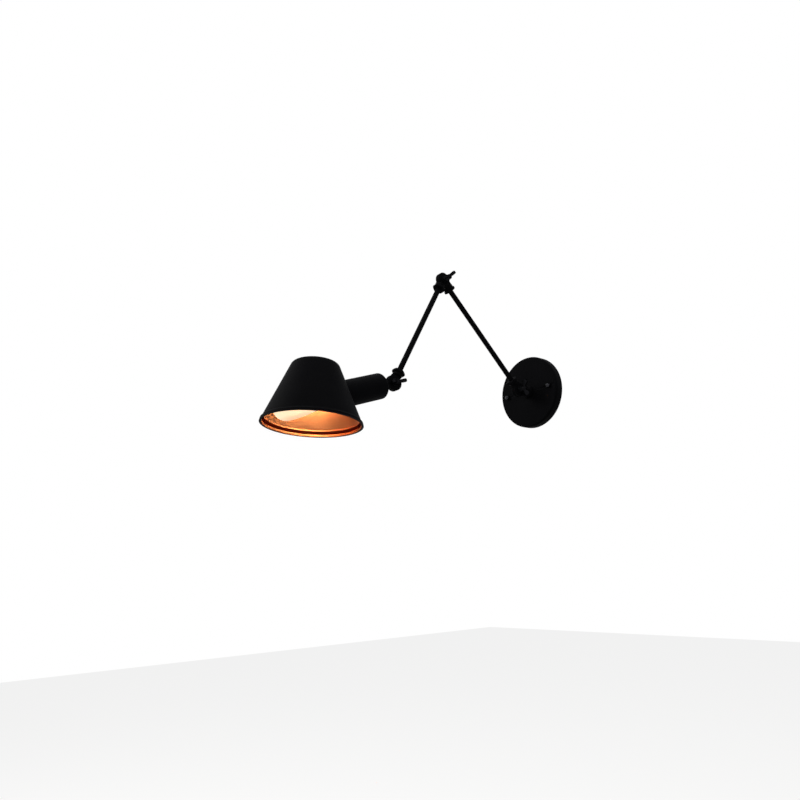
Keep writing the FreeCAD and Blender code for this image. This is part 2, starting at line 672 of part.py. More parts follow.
def build_socket():
    """The knuckle, cup and lampholder that carry the shade and the bulb."""
    neck = neck_outline("cup_start")
    knuckle("head_knuckle", 1, HEAD, neck, [
        ("nipple_bore / 2", "arm_tube_start", "head_nipple_start"),
        (NIPPLE_THREAD, "head_nipple_start", "cup_start + neck_edge")])
    node("head_nipple", turned("head_pipe", ring("nipple_bore / 2", "nipple_dia / 2", "head_nipple_start",
                                                 "holder_cap_start + holder_cap_floor")), HEAD)
    floor = "cup_start + cup_end_wall"
    node("head_lock_nut", hexagon("head_nut", "thin_nut_across_flats", floor, f"{floor} + thin_nut_height",
                                  NIPPLE_THREAD), HEAD)

    outer, corner, wall = "cup_dia / 2", "cup_corner_radius", "cup_wall"
    past = "cup_reach + cup_dia / 2"
    hole = "nipple_dia / 2 + cup_hole_clearance"
    shell = turned("cup_shell", [
        (hole, "cup_start"), (f"{outer} - {corner}", "cup_start"),
        (outer, f"cup_start + {corner}", corner, -1), (outer, past), (f"{outer} - {wall}", past),
        (f"{outer} - {wall}", f"cup_start + {corner}"),
        (f"{outer} - {corner}", floor, f"{corner} - {wall}", 1), (hole, floor)], HEAD)
    cone = bind(DOC.addObject("Part::Cone", "cup_mouth_cone"), Radius1="shade_cone_dia / 2",
                Radius2="shade_top_dia / 2", Height=CONE_RISE)
    cone.Placement = shade_frame().multiply(place(z="shade_cone_start"))
    node("socket_cup", cut("cup_cut", shell, [cone]))

    radius, inside = "holder_cap_dia / 2", "holder_cap_dia / 2 - holder_cap_wall"
    start, top = "holder_cap_start", f"{HOLDER_BACK}"
    node("lampholder_cap", turned("holder_cap", [
        (NIPPLE_THREAD, start), (f"{radius} - holder_cap_wall", start),
        (radius, f"{start} + holder_cap_wall"),
        (radius, top), (inside, top), (inside, f"{start} + holder_cap_floor"),
        (NIPPLE_THREAD, f"{start} + holder_cap_floor")]), HEAD)
    body, chamber = "holder_dia / 2", "holder_chamber_dia / 2"
    bore = f"{SHELL_OUTER} + thread_clearance"
    shell_top = f"{HOLDER_FLOOR} + shell_length"
    node("lampholder_body", turned("holder_body", [
        (chamber, HOLDER_BACK), (body, HOLDER_BACK), (body, HOLDER_FRONT),
        ("holder_mouth_dia / 2", HOLDER_FRONT), ("holder_mouth_dia / 2", shell_top),
        (bore, shell_top), (bore, HOLDER_FLOOR), (0, HOLDER_FLOOR),
        (0, f"{HOLDER_FLOOR} - holder_floor"), (chamber, f"{HOLDER_FLOOR} - holder_floor")]), HEAD)
    node("lampholder_screw_shell", turned("holder_shell", ring(
        SHELL_INNER, SHELL_OUTER, HOLDER_FLOOR, shell_top)), HEAD)
    node("lampholder_contact", turned("holder_contact", ring(
        0, "contact_dia / 2", HOLDER_FLOOR, BULB_SEAT)), HEAD)
    seat = str(ring_seat())
    node("shade_ring", turned("shade_ring_body", ring(
        "holder_dia / 2 + thread_clearance", "shade_ring_dia / 2", seat,
        f"{seat} + shade_ring_thickness")), HEAD)


def build_shade():
    """The spun shade: cone, rounded shoulder, closed top and a flared band with a rolled edge."""
    wall = "shade_wall"
    slope = f"({wall} / {CONE_COS})"
    shrink = f"({wall} * (1 - {CONE_SIN}) / {CONE_COS})"
    bend = f"({CONE_COS} / (1 - {CONE_SIN}))"
    outer_top, inner_top = "shade_top_dia / 2", f"(shade_top_dia / 2 - {shrink})"
    outer_run, inner_run = "shade_shoulder_length", f"(shade_shoulder_length - {shrink})"
    roof, ceiling = "shade_height", f"(shade_height - {wall})"
    band, flare = "shade_band_dia / 2", "shade_flare_radius"
    inside = f"(shade_cone_dia / 2 - {slope})"
    lip, roll, edge = "(shade_rim_dia / 2 - shade_roll_width)", "shade_roll_height", "shade_roll_edge"
    shell = turned("shade_shell", [
        ("shade_rim_dia / 2", 0), (band, "shade_band_height"),
        ("shade_cone_dia / 2", "shade_cone_start", flare, 1),
        (f"{outer_top} + {outer_run} * {CONE_SIN}", f"{roof} - {outer_run} * {CONE_COS}"),
        (f"{outer_top} - {outer_run}", roof, f"{outer_run} * {bend}", -1), (0, roof), (0, ceiling),
        (f"{inner_top} - {inner_run}", ceiling),
        (f"{inner_top} + {inner_run} * {CONE_SIN}", f"{ceiling} - {inner_run} * {CONE_COS}",
         f"{inner_run} * {bend}", 1),
        (f"{inside} - shade_bead_height * {CONE_RUN} / {CONE_RISE}", "shade_cone_start + shade_bead_height"),
        (f"{inside} - shade_bead_depth", "shade_cone_start + shade_bead_height / 2"),
        (f"{inside} - shade_bead_depth", "shade_cone_start"), (inside, "shade_cone_start"),
        (f"{band} - {wall}", roll, flare, -1), (f"{lip} + {edge}", roll),
        (lip, f"{roll} - {edge}", edge, -1), (lip, edge), (f"{lip} + {edge}", 0, edge, -1)], shade_frame())
    hole = rod("shade_side_hole", "holder_dia / 2 + shade_hole_clearance", "cup_reach - cup_dia / 4",
               "cup_reach + cup_dia / 4", HEAD)
    node("shade", cut("shade_cut", shell, [hole]))


def build_bulb():
    """A small frosted pear bulb on a screw cap."""
    insulator = f"({BULB_SEAT} + bulb_button_height)"
    cap = f"({insulator} + bulb_insulator_height)"
    cap_top = f"({cap} + bulb_cap_length)"
    tip = f"({cap_top} + bulb_glass_length)"
    neck, belly, wall = "bulb_neck_dia / 2", "bulb_glass_dia / 2", "bulb_glass_wall"
    stem = "(bulb_cap_dia / 2 - bulb_cap_wall)"
    node("bulb_contact", turned("bulb_button", ring(0, "bulb_button_dia / 2", BULB_SEAT, insulator)), HEAD)
    node("bulb_insulator", turned("bulb_insulator_cone", [
        (0, insulator), ("bulb_insulator_small_dia / 2", insulator), ("bulb_insulator_large_dia / 2", cap),
        (0, cap)]), HEAD)
    shell, inside = "bulb_cap_dia / 2", "bulb_cap_dia / 2 - bulb_cap_wall"
    node("bulb_cap", turned("bulb_cap_shell", [
        (0, cap), (shell, cap), (shell, cap_top), (inside, cap_top), (inside, f"{cap} + bulb_cap_wall"),
        (0, f"{cap} + bulb_cap_wall")]), HEAD)
    shoulder, equator = f"({cap_top} + bulb_neck_rise)", f"({tip} - {belly})"
    run, rise = f"({belly} - {neck})", f"({equator} - {shoulder})"
    flank = f"({run} ^ 2 + {rise} ^ 2) / 2 / {run}"
    node("bulb_glass", turned("bulb_envelope", [
        (stem, f"{cap_top} - bulb_neck_overlap"), (stem, cap_top), (neck, shoulder),
        (belly, equator, flank, -1), (0, tip, belly, -1), (0, f"{tip} - {wall}"),
        (f"{belly} - {wall}", equator, f"{belly} - {wall}", 1), (f"{neck} - {wall}", shoulder, flank, 1),
        (f"{stem} - {wall}", cap_top), (f"{stem} - {wall}", f"{cap_top} - bulb_neck_overlap")]), HEAD)


# ---------------------------------------------------------------- assembly
def check_and_write():
    """Stop at any failed object or shape, then write one STEP file for each node."""
    DOC.recompute()
    failed = [thing.Label for thing in DOC.Objects if {"Invalid", "Error"} & set(thing.State)]
    if failed:
        raise RuntimeError(f"these objects failed: {failed}")
    for thing in NODES:
        if thing.Shape.isNull() or not thing.Shape.isValid() or not thing.Shape.Solids:
            raise RuntimeError(f"{thing.Label} has no valid solid")
    os.makedirs("parts", exist_ok=True)
    for thing in NODES:
        thing.Shape.exportStep(os.path.join("parts", thing.Label + ".step"))
        print(f"{thing.Label}: {len(thing.Shape.Solids)} solid, {thing.Shape.Volume:.1f} mm3")


build_canopy()
build_wall_bar()
build_terminal_block()
build_base_stem()
hinge_hardware("base_hinge", BASE_PIVOT, SPRING_COUNT, "base_wing_angle")
build_arm("arm_one", 1, ARM_ONE, "arm_one_length", "lower", "upper")
hinge_hardware("elbow_hinge", ELBOW, SPRING_COUNT, "elbow_wing_angle")
build_arm("arm_two", -1, ARM_TWO, "arm_two_length", "upper", "lower")
hinge_hardware("head_hinge", WRIST, 0, "head_wing_angle")
build_socket()
build_shade()
build_bulb()
check_and_write()
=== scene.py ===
# Swing arm wall sconce: the visible pieces, their finishes and the studio.
# Lengths in the code are millimetres until a mesh is placed; Blender's own are metres.
import json
import math

import bmesh
import bpy
from mathutils import Matrix, Vector

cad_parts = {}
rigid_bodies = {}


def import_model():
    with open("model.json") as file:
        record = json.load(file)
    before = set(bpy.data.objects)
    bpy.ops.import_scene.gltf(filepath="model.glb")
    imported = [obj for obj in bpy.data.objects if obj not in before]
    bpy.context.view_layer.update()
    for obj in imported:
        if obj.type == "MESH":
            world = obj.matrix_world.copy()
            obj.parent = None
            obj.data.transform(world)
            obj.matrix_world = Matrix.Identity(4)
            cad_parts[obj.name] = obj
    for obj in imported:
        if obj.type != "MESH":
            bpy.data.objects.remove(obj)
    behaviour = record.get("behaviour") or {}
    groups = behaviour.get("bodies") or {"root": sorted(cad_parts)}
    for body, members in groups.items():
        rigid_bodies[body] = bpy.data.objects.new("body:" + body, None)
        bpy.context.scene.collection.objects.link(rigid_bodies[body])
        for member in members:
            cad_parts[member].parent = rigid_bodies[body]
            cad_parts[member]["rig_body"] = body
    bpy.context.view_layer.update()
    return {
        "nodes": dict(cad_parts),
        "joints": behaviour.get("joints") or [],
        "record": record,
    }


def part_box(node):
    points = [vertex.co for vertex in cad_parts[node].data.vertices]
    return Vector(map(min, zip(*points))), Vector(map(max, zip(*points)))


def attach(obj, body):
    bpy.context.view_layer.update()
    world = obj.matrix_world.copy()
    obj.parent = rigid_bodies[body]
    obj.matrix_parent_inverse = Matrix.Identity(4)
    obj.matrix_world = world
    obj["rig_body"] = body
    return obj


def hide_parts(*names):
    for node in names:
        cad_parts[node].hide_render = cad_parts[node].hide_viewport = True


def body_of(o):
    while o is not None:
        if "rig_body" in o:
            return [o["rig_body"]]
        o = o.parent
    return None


bl_info = {
    "name": "Swing arm wall sconce",
    "version": (1, 0, 0),
    "blender": (4, 5, 0),
    "location": "View3D > Sidebar > Sconce",
    "description": "Builds a black swing arm wall lamp round its packed frame",
    "category": "Add Mesh",
}

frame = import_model()
MM = 0.001
JOINTS = {joint["name"]: joint for joint in frame["joints"]}
BASE = Vector(JOINTS["base_hinge"]["pos_m"])
ELBOW = Vector(JOINTS["elbow_hinge"]["pos_m"])
WRIST = Vector(JOINTS["head_hinge"]["pos_m"])
CUP_AXIS = Vector(JOINTS["bulb_turn"]["axis"])
SLOTS = {part["node"]: part["material_slot"] for part in frame["record"]["subparts"]}

# Places along the cup's axis, in millimetres from the head's hinge.
CUP_REACH = 90.4
HOLDER_BACK, HOLDER_FRONT, HOLDER_FLOOR = 72.0, 114.4, 89.9
BULB_SEAT, BULB_BELLY, BULB_TIP = 91.9, 177.6, 195.1


# ---------------------------------------------------------------- settings
def hex_colour(code):
    """An sRGB hex colour as linear red, green, blue and alpha."""
    parts = [int(code[i:i + 2], 16) / 255 for i in (1, 3, 5)]
    return [p / 12.92 if p <= 0.04045 else ((p + 0.055) / 1.055) ** 2.4 for p in parts] + [1.0]


def length(name, description, millimetres):
    """A length setting, given in millimetres and kept in metres."""
    return bpy.props.FloatProperty(name=name, description=description, default=millimetres * MM,
                                   min=0.0, unit="LENGTH", precision=5)


def colour(name, description, code):
    """A colour setting from an sRGB hex code."""
    return bpy.props.FloatVectorProperty(name=name, description=description, subtype="COLOR", size=4,
                                         min=0.0, max=1.0, default=hex_colour(code))


class SconceFinishes(bpy.types.PropertyGroup):
    """Colours and grain of the finishes."""
    black: colour("Black paint", "Powder coat on all outside metal", "#0e0e10")
    oxide: colour("Black oxide", "Chemical blackening on bolts and wing nuts", "#151517")
    copper: colour("Copper lining", "Lacquer inside the shade", "#96623f")
    glow: colour("Bulb glow", "Light of the frosted bulb", "#ffe2b8")
    # The limb colour is painted shade: the bulb's glow turns peach at its lowest part.
    limb: colour("Bulb limb", "Light of the bulb at its dim low tip", "#eea26c")
    glow_strength: bpy.props.FloatProperty(name="Glow strength", description="Radiance of the bulb's glass",
                                           default=210.0, min=0.0)
    orange_peel: length("Orange peel", "Width of the soft waves in the powder coat", 1.4)
    grit: length("Grit", "Width of the fine grain in the powder coat", 0.35)
    spin_pitch: length("Spin lines", "Spacing of the tool lines inside the shade", 0.7)


class SconceShade(bpy.types.PropertyGroup):
    """Outline of the shade, from its rim upwards."""
    rim: length("Rim", "Diameter at the lower edge", 130.4)
    band: length("Band", "Diameter at the top of the upright band", 128.8)
    band_height: length("Band height", "Height of the upright band", 3.4)
    cone: length("Cone", "Diameter where the cone begins", 123.3)
    cone_height: length("Cone height", "Height where the cone begins", 7.0)
    flare: length("Flare", "Radius between the cone and the band", 6.0)
    bead: length("Bead", "How far the bead above the band stands inwards", 1.0)
    bead_height: length("Bead height", "Height of that bead", 1.8)
    roll_width: length("Roll width", "Width of the rolled edge under the rim", 3.2)
    roll_height: length("Roll height", "Height of the rolled edge", 3.6)
    roll_edge: length("Roll edge", "Radius of the rolled edge's corners", 0.6)
    top: length("Top", "Diameter where cone and roof would meet", 59.7)
    height: length("Height", "Height of the shade", 82.0)
    shoulder: length("Shoulder", "Length that the rounded shoulder takes on each side", 5.3)
    wall: length("Wall", "Thickness of the sheet", 1.0)
    seat: length("Seat", "Height on the cone where the cup's axis meets it", 49.8)


class SconceHardware(bpy.types.PropertyGroup):
    """Small edges and threads."""
    soft_edge: length("Soft edge", "Width of the paint-softened edges", 0.25)
    crisp_edge: length("Crisp edge", "Width of the edges on turned and plated pieces", 0.12)
    bolt_pitch: length("Bolt pitch", "Thread pitch of the hinge bolts", 0.8)
    stud_pitch: length("Stud pitch", "Thread pitch of the canopy studs", 0.7)
    cap_pitch: length("Cap pitch", "Thread pitch of the bulb's screw cap", 2.82)
    skirt_pitch: length("Skirt pitch", "Thread pitch on the outside of the lampholder", 2.0)


class SconceStudio(bpy.types.PropertyGroup):
    """Camera and light."""
    camera_place: bpy.props.FloatVectorProperty(name="Camera", description="Place of the camera",
                                                subtype="TRANSLATION", size=3, unit="LENGTH",
                                                default=(0.689285, -0.845559, -0.289096))
    azimuth: bpy.props.FloatProperty(name="Azimuth", description="Camera's turn round the lamp",
                                     default=math.radians(51.2005), subtype="ANGLE", unit="ROTATION")
    elevation: bpy.props.FloatProperty(name="Elevation", description="Camera's height as an angle",
                                       default=math.radians(-15.0224), subtype="ANGLE", unit="ROTATION")
    roll: bpy.props.FloatProperty(name="Roll", description="Camera's tilt about its own view",
                                  default=math.radians(-2.3006), subtype="ANGLE", unit="ROTATION")
    lens: bpy.props.FloatProperty(name="Lens", description="Focal length on a 36 mm wide sensor",
                                  default=29.304, min=1.0, unit="CAMERA")
    floor_drop: length("Floor drop", "How far the floor lies below the canopy's middle", 1250.0)
    backdrop: colour("Backdrop", "Colour of the floor and the background", "#ffffff")


GROUPS = {"finishes": SconceFinishes, "shade": SconceShade, "hardware": SconceHardware,
          "studio": SconceStudio}


def settings(group):
    """One of the scene's setting groups."""
    return getattr(bpy.context.scene, "sconce_" + group)


# ---------------------------------------------------------------- meshes
def rounded(points, pieces=5):
    """A closed (radius, height) outline whose corners are rounded where a third number gives a radius."""
    outline = []
    for index, point in enumerate(points):
        corner = Vector(point[:2])
        radius = point[2] if len(point) > 2 else 0
        if not radius:
            outline.append(tuple(corner))
            continue
        back = Vector(points[index - 1][:2]) - corner
        ahead = Vector(points[(index + 1) % len(points)][:2]) - corner
        opening = back.angle(ahead)
        reach = min(radius / math.tan(opening / 2), 0.49 * back.length, 0.49 * ahead.length)
        bend = reach * math.tan(opening / 2)
        middle = corner + (back.normalized() + ahead.normalized()).normalized() * bend / math.sin(opening / 2)
        start, end = corner + back.normalized() * reach, corner + ahead.normalized() * reach
        for step in range(pieces + 1):
            way = (start - middle).slerp(end - middle, step / pieces)
            outline.append(tuple(middle + way * bend))
    return outline


def at(number, turn):
    """A plain number, or one that changes round the piece."""
    return number(turn) if callable(number) else number


def ringed(rings, steps=96, closed=True, tints=None):
    """A mesh of rings about Z; each ring is (radius, height), numbers or functions of the turn.

    A ring of no radius is a pole.  Where closed, the last ring joins the first.
    tints gives the material number of the band that starts at each ring."""
    shape = bmesh.new()
    turns = [2 * math.pi * step / steps for step in range(steps)]
    rows = []
    for radius, height in rings:
        pole = not callable(radius) and abs(radius) < 1e-6
        row = []
        for turn in turns[:1] if pole else turns:
            across = 0 if pole else at(radius, turn)
            row.append(shape.verts.new((across * math.cos(turn), across * math.sin(turn), at(height, turn))))
        rows.append(row)
    pairs = list(zip(range(len(rows)), range(1, len(rows))))
    if closed:
        pairs.append((len(rows) - 1, 0))
    for low, high in pairs:
        below, above = rows[low], rows[high]
        for step in range(steps):
            following = (step + 1) % steps
            corners = [below[step % len(below)], below[following % len(below)],
                       above[following % len(above)], above[step % len(above)]]
            corners = [v for i, v in enumerate(corners) if v not in corners[:i]]
            if len(corners) > 2:
                face = shape.faces.new(corners)
                face.material_index = tints[low] if tints else 0
    bmesh.ops.recalc_face_normals(shape, faces=shape.faces)
    return shape


def tube(inner, outer, low, high, edge=0.15):
    """The rings of a pipe or rod with rounded edges."""
    if inner <= 0:
        return rounded([(0, low), (outer, low, edge), (outer, high, edge), (0, high)], 3)
    return rounded([(inner, low, edge), (outer, low, edge), (outer, high, edge), (inner, high, edge)], 3)


def hexagon(across_flats, turn):
    """Radius of a hexagon at a turn; a corner lies at no turn."""
    sixth = math.pi / 3
    return across_flats / 2 / math.cos(turn % sixth - sixth / 2)


def nut_rings(across_flats, low, high, bore, edge=0.15):
    """The rings of a hexagon nut with chamfered corners, or of a solid hexagon where there is no bore."""
    flat = across_flats / 2
    face, bend, cone = flat * 0.93, flat * 0.965, flat * 0.97
    slope = math.tan(math.radians(30))

    def side(turn):
        return hexagon(across_flats, turn)

    def corner(turn):
        return side(turn) - edge / 2

    def lower(turn):
        return low + (corner(turn) - cone) * slope + edge / 2

    def upper(turn):
        return high - (corner(turn) - cone) * slope - edge / 2

    rings = [(face, low), (bend, low + edge / 4), (corner, lower), (side, lambda turn: lower(turn) + edge),
             (side, lambda turn: upper(turn) - edge), (corner, upper), (bend, high - edge / 4), (face, high)]
    if bore:
        chamfer = 3 * edge
        return rings + [(bore + chamfer, high), (bore, high - chamfer), (bore, low + chamfer),
                        (bore + chamfer, low)]
    return rings + [(0, high), (0, low)]


def thread_rings(outer, depth, pitch, low, high, steps_per_turn=8, rounding=False):
    """The rings of a screw thread from a low to a high end, faded out over half a turn at each."""
    count = max(2, round((high - low) / pitch * steps_per_turn))
    rings = []
    for step in range(count + 1):
        height = low + (high - low) * step / count
        fade = min(1.0, min(step, count - step) / (steps_per_turn / 2))

        def radius(turn, height=height, fade=fade):
            phase = (height / pitch - turn / (2 * math.pi)) % 1
            wave = 0.5 - 0.5 * math.cos(2 * math.pi * phase) if rounding else abs(2 * phase - 1)
            return outer - depth * (fade * wave + (1 - fade))
        rings.append((radius, height))
    return rings


def placed(shape, name, matrix, node, smooth=32.0, materials=()):
    """Turn a millimetre bmesh into a piece that stands in for a CAD node and rides on its body."""
    mesh = bpy.data.meshes.new(name)
    shape.transform(matrix @ Matrix.Scale(MM, 4))
    shape.to_mesh(mesh)
    shape.free()
    piece = bpy.data.objects.new(name, mesh)
    bpy.context.scene.collection.objects.link(piece)
    for material in materials or [FINISHES[SLOTS[node]]]:
        mesh.materials.append(material)
    smoothed(mesh, smooth)
    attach(piece, body_of(frame["nodes"][node])[0])
    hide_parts(node)
    return piece


def smoothed(mesh, angle):
    """Smooth shading up to an angle in degrees."""
    mesh.polygons.foreach_set("use_smooth", [True] * len(mesh.polygons))
    mesh.set_sharp_from_angle(angle=math.radians(angle))


def joined(*shapes):
    """Several bmeshes as one; the others are freed."""
    first = shapes[0]
    for other in shapes[1:]:
        spare = bpy.data.meshes.new("spare")
        other.to_mesh(spare)
        other.free()
        first.from_mesh(spare)
        bpy.data.meshes.remove(spare)
    return first


def moved(shape, matrix):
    """A bmesh after a transform."""
    shape.transform(matrix)
    return shape


def cut_away(piece, cutter_shape, matrix):
    """Take a shape out of a piece's mesh."""
    mesh = bpy.data.meshes.new("cutter")
    cutter_shape.transform(matrix @ Matrix.Scale(MM, 4))
    cutter_shape.to_mesh(mesh)
    cutter_shape.free()
    cutter = bpy.data.objects.new("cutter", mesh)
    bpy.context.scene.collection.objects.link(cutter)
    knife = piece.modifiers.new("hole", "BOOLEAN")
    knife.object = cutter
    knife.solver = "EXACT"
    bpy.context.view_layer.update()
    evaluated = piece.evaluated_get(bpy.context.evaluated_depsgraph_get())
    result = bpy.data.meshes.new_from_object(evaluated)
    piece.modifiers.clear()
    old = piece.data
    piece.data = result
    result.name = old.name
    bpy.data.meshes.remove(old)
    bpy.data.objects.remove(cutter)
    bpy.data.meshes.remove(mesh)


# How close points are welded, in metres, and the angles of a flat joint and of an edge, in degrees.
WELD, FLAT, EDGE = 1e-7, 0.4, 34


def softened(edge, *nodes):
    """Copies of CAD nodes with rounded edges that catch the light; returns the last one."""
    for node in nodes:
        shape = bmesh.new()
        shape.from_mesh(frame["nodes"][node].data)
        bmesh.ops.remove_doubles(shape, verts=shape.verts, dist=WELD)
        bmesh.ops.dissolve_limit(shape, angle_limit=math.radians(FLAT), verts=shape.verts, edges=shape.edges)
        shape.transform(Matrix.Scale(1 / MM, 4))
        piece = placed(shape, node + "_finished", Matrix(), node, 180.0)
        bevel = piece.modifiers.new("soft_edges", "BEVEL")
        bevel.width = edge
        bevel.segments = 2
        bevel.limit_method = "ANGLE"
        bevel.angle_limit = math.radians(EDGE)
        bevel.harden_normals = True
    return piece


def repainted(*nodes):
    """CAD nodes that keep their shape and get their finish."""
    for node in nodes:
        mesh = frame["nodes"][node].data
        mesh.materials.clear()
        mesh.materials.append(FINISHES[SLOTS[node]])
        smoothed(mesh, 32.0)


# ---------------------------------------------------------------- frames
def length_frame(pivot, direction):
    """A matrix whose Z runs along a direction in the middle plane and whose X is the hinge axis."""
    return Matrix.Translation(pivot) @ Matrix.Rotation(math.atan2(-direction.y, direction.z), 4, "X")


def hinge_frame(pivot):
    """A matrix whose Z runs along the hinge axis, out to the wing nut."""
    return Matrix.Translation(pivot) @ Matrix.Rotation(math.radians(90), 4, "Y")


HEAD = length_frame(WRIST, CUP_AXIS)
WALL = Matrix.Rotation(math.radians(90), 4, "X")


# ---------------------------------------------------------------- finishes
def add(tree, kind, links=None, **options):
    """Add a node; links maps an input to a value or to another node's output."""
    node = tree.nodes.new(kind)
    for name, option in options.items():
        setattr(node, name, option)
    for name, source in (links or {}).items():
        if isinstance(source, bpy.types.NodeSocket):
            tree.links.new(source, node.inputs[name])
        else:
            node.inputs[name].default_value = source
    return node


def new_finish(name):
    """An empty material and its node tree."""
    material = bpy.data.materials.new(name)
    material.use_nodes = True
    material.node_tree.nodes.clear()
    return material, material.node_tree


def close_finish(tree, shader):
    """Join a shader to the material's output."""
    add(tree, "ShaderNodeOutputMaterial", {"Surface": shader.outputs[0]})


def shade_of(colour_value, factor):
    """A colour made lighter or darker."""
    return [min(1.0, part * factor) for part in colour_value[:3]] + [1.0]


def ramp(tree, source, low, high, start=0.3, end=0.7):
    """A colour ramp between two colours."""
    node = add(tree, "ShaderNodeValToRGB", {"Fac": source})
    node.color_ramp.elements[0].position = start
    node.color_ramp.elements[0].color = low
    node.color_ramp.elements[1].position = end
    node.color_ramp.elements[1].color = high
    return node.outputs["Color"]


def noise(tree, place, scale, detail=2.0, **more):
    """A noise texture's value."""
    return add(tree, "ShaderNodeTexNoise", {"Vector": place, "Scale": scale, "Detail": detail,
                                            **more}).outputs["Fac"]


def between(tree, value, low, high):
    """A noise as a value between two limits."""
    return add(tree, "ShaderNodeMapRange", {"Value": value, "From Min": 0.3, "From Max": 0.7,
                                            "To Min": low, "To Max": high}).outputs["Result"]


def relief(tree, height, strength, depth, **more):
    """The normal of a surface raised by a noise; the depth is in millimetres."""
    return add(tree, "ShaderNodeBump", {"Height": height, "Strength": strength, "Distance": depth * MM,
                                        **more}).outputs["Normal"]


# Noise scales: how many waves lie in a metre.
PATCHES, STAINS, SWIRLS, CLOUDS, FIBRES, ETCHING = 28.0, 40.0, 90.0, 160.0, 900.0, 1600.0


def powder_coat(name, base, roughness, specular, peel, grit):
    """Baked polyester powder: soft orange peel with a fine grit, so highlights break up and spread."""
    material, tree = new_finish(name)
    place = add(tree, "ShaderNodeTexCoord").outputs["Object"]
    waves = noise(tree, place, 1 / peel, Roughness=0.45)
    grain = noise(tree, place, 1 / grit, 3.0, Roughness=0.6)
    patches = noise(tree, place, PATCHES)
    swell = relief(tree, waves, 0.16, 0.2)
    close_finish(tree, add(tree, "ShaderNodeBsdfPrincipled", {
        "Base Color": ramp(tree, patches, shade_of(base, 0.86), shade_of(base, 1.16)),
        "Roughness": between(tree, grain, roughness - 0.06, roughness + 0.08), "IOR": 1.5,
        "Specular IOR Level": specular, "Normal": relief(tree, grain, 0.22, 0.06, Normal=swell)}))
    return material


def plain_metal(name, base, roughness, grain_mm, uneven=0.08, rim="#ffffff"):
    """Bare or plated metal with faint tool marks; rim tints what it mirrors at a slant."""
    material, tree = new_finish(name)
    place = add(tree, "ShaderNodeTexCoord").outputs["Object"]
    marks = noise(tree, place, 1 / (grain_mm * MM), 4.0, Roughness=0.65)
    cloud = noise(tree, place, CLOUDS)
    close_finish(tree, add(tree, "ShaderNodeBsdfPrincipled", {
        "Base Color": ramp(tree, marks, shade_of(base, 0.84), shade_of(base, 1.08)), "Metallic": 1.0,
        "Roughness": between(tree, cloud, roughness - uneven, roughness + uneven),
        "Specular Tint": hex_colour(rim), "Normal": relief(tree, marks, 0.2, 0.03)}))
    return material


def moulded(name, base, roughness, grain_mm, specular=0.5, flecks=1.1):
    """Moulded plastic or rubber: an even skin with the mould's faint grain."""
    material, tree = new_finish(name)
    place = add(tree, "ShaderNodeTexCoord").outputs["Object"]
    skin = noise(tree, place, 1 / (grain_mm * MM))
    swirl = noise(tree, place, SWIRLS, 3.0, Distortion=1.2)
    close_finish(tree, add(tree, "ShaderNodeBsdfPrincipled", {
        "Base Color": ramp(tree, swirl, shade_of(base, 1 / flecks), shade_of(base, flecks)),
        "Roughness": between(tree, skin, roughness - 0.05, roughness + 0.05), "IOR": 1.5,
        "Specular IOR Level": specular, "Normal": relief(tree, skin, 0.15, 0.05)}))
    return material


def vulcanised_fibre(name, base):
    """Pressed cotton fibre, oxide red: dull, with short fibres that mottle its colour."""
    material, tree = new_finish(name)
    place = add(tree, "ShaderNodeTexCoord").outputs["Object"]
    laid = add(tree, "ShaderNodeMapping", {"Vector": place, "Scale": (1, 3, 1)}).outputs["Vector"]
    fibres = noise(tree, laid, FIBRES, 5.0)
    close_finish(tree, add(tree, "ShaderNodeBsdfPrincipled", {
        "Base Color": ramp(tree, fibres, shade_of(base, 0.7), shade_of(base, 1.3)),
        "Roughness": 0.85, "IOR": 1.5, "Normal": relief(tree, fibres, 0.3, 0.05)}))
    return material


def copper_lacquer(name, base, pitch, matrix):
    """Copper-coloured lacquer on a spun inside: satin and warm, with faint rings from the spinning tool."""
    material, tree = new_finish(name)
    place = add(tree, "ShaderNodeTexCoord").outputs["Object"]
    turned = matrix.inverted()
    mapping = add(tree, "ShaderNodeMapping", {"Vector": place, "Location": turned.to_translation(),
                                              "Rotation": turned.to_euler()})
    height = add(tree, "ShaderNodeSeparateXYZ", {"Vector": mapping.outputs["Vector"]}).outputs["Z"]
    lines = add(tree, "ShaderNodeTexNoise", {"W": height, "Scale": 1 / pitch, "Detail": 3.0},
                noise_dimensions="1D").outputs["Fac"]
    stains = noise(tree, place, STAINS)
    close_finish(tree, add(tree, "ShaderNodeBsdfPrincipled", {
        "Base Color": ramp(tree, stains, shade_of(base, 0.92), shade_of(base, 1.06)), "Metallic": 1.0,
        "Roughness": between(tree, lines, 0.46, 0.58), "Normal": relief(tree, lines, 0.12, 0.06)}))
    return material


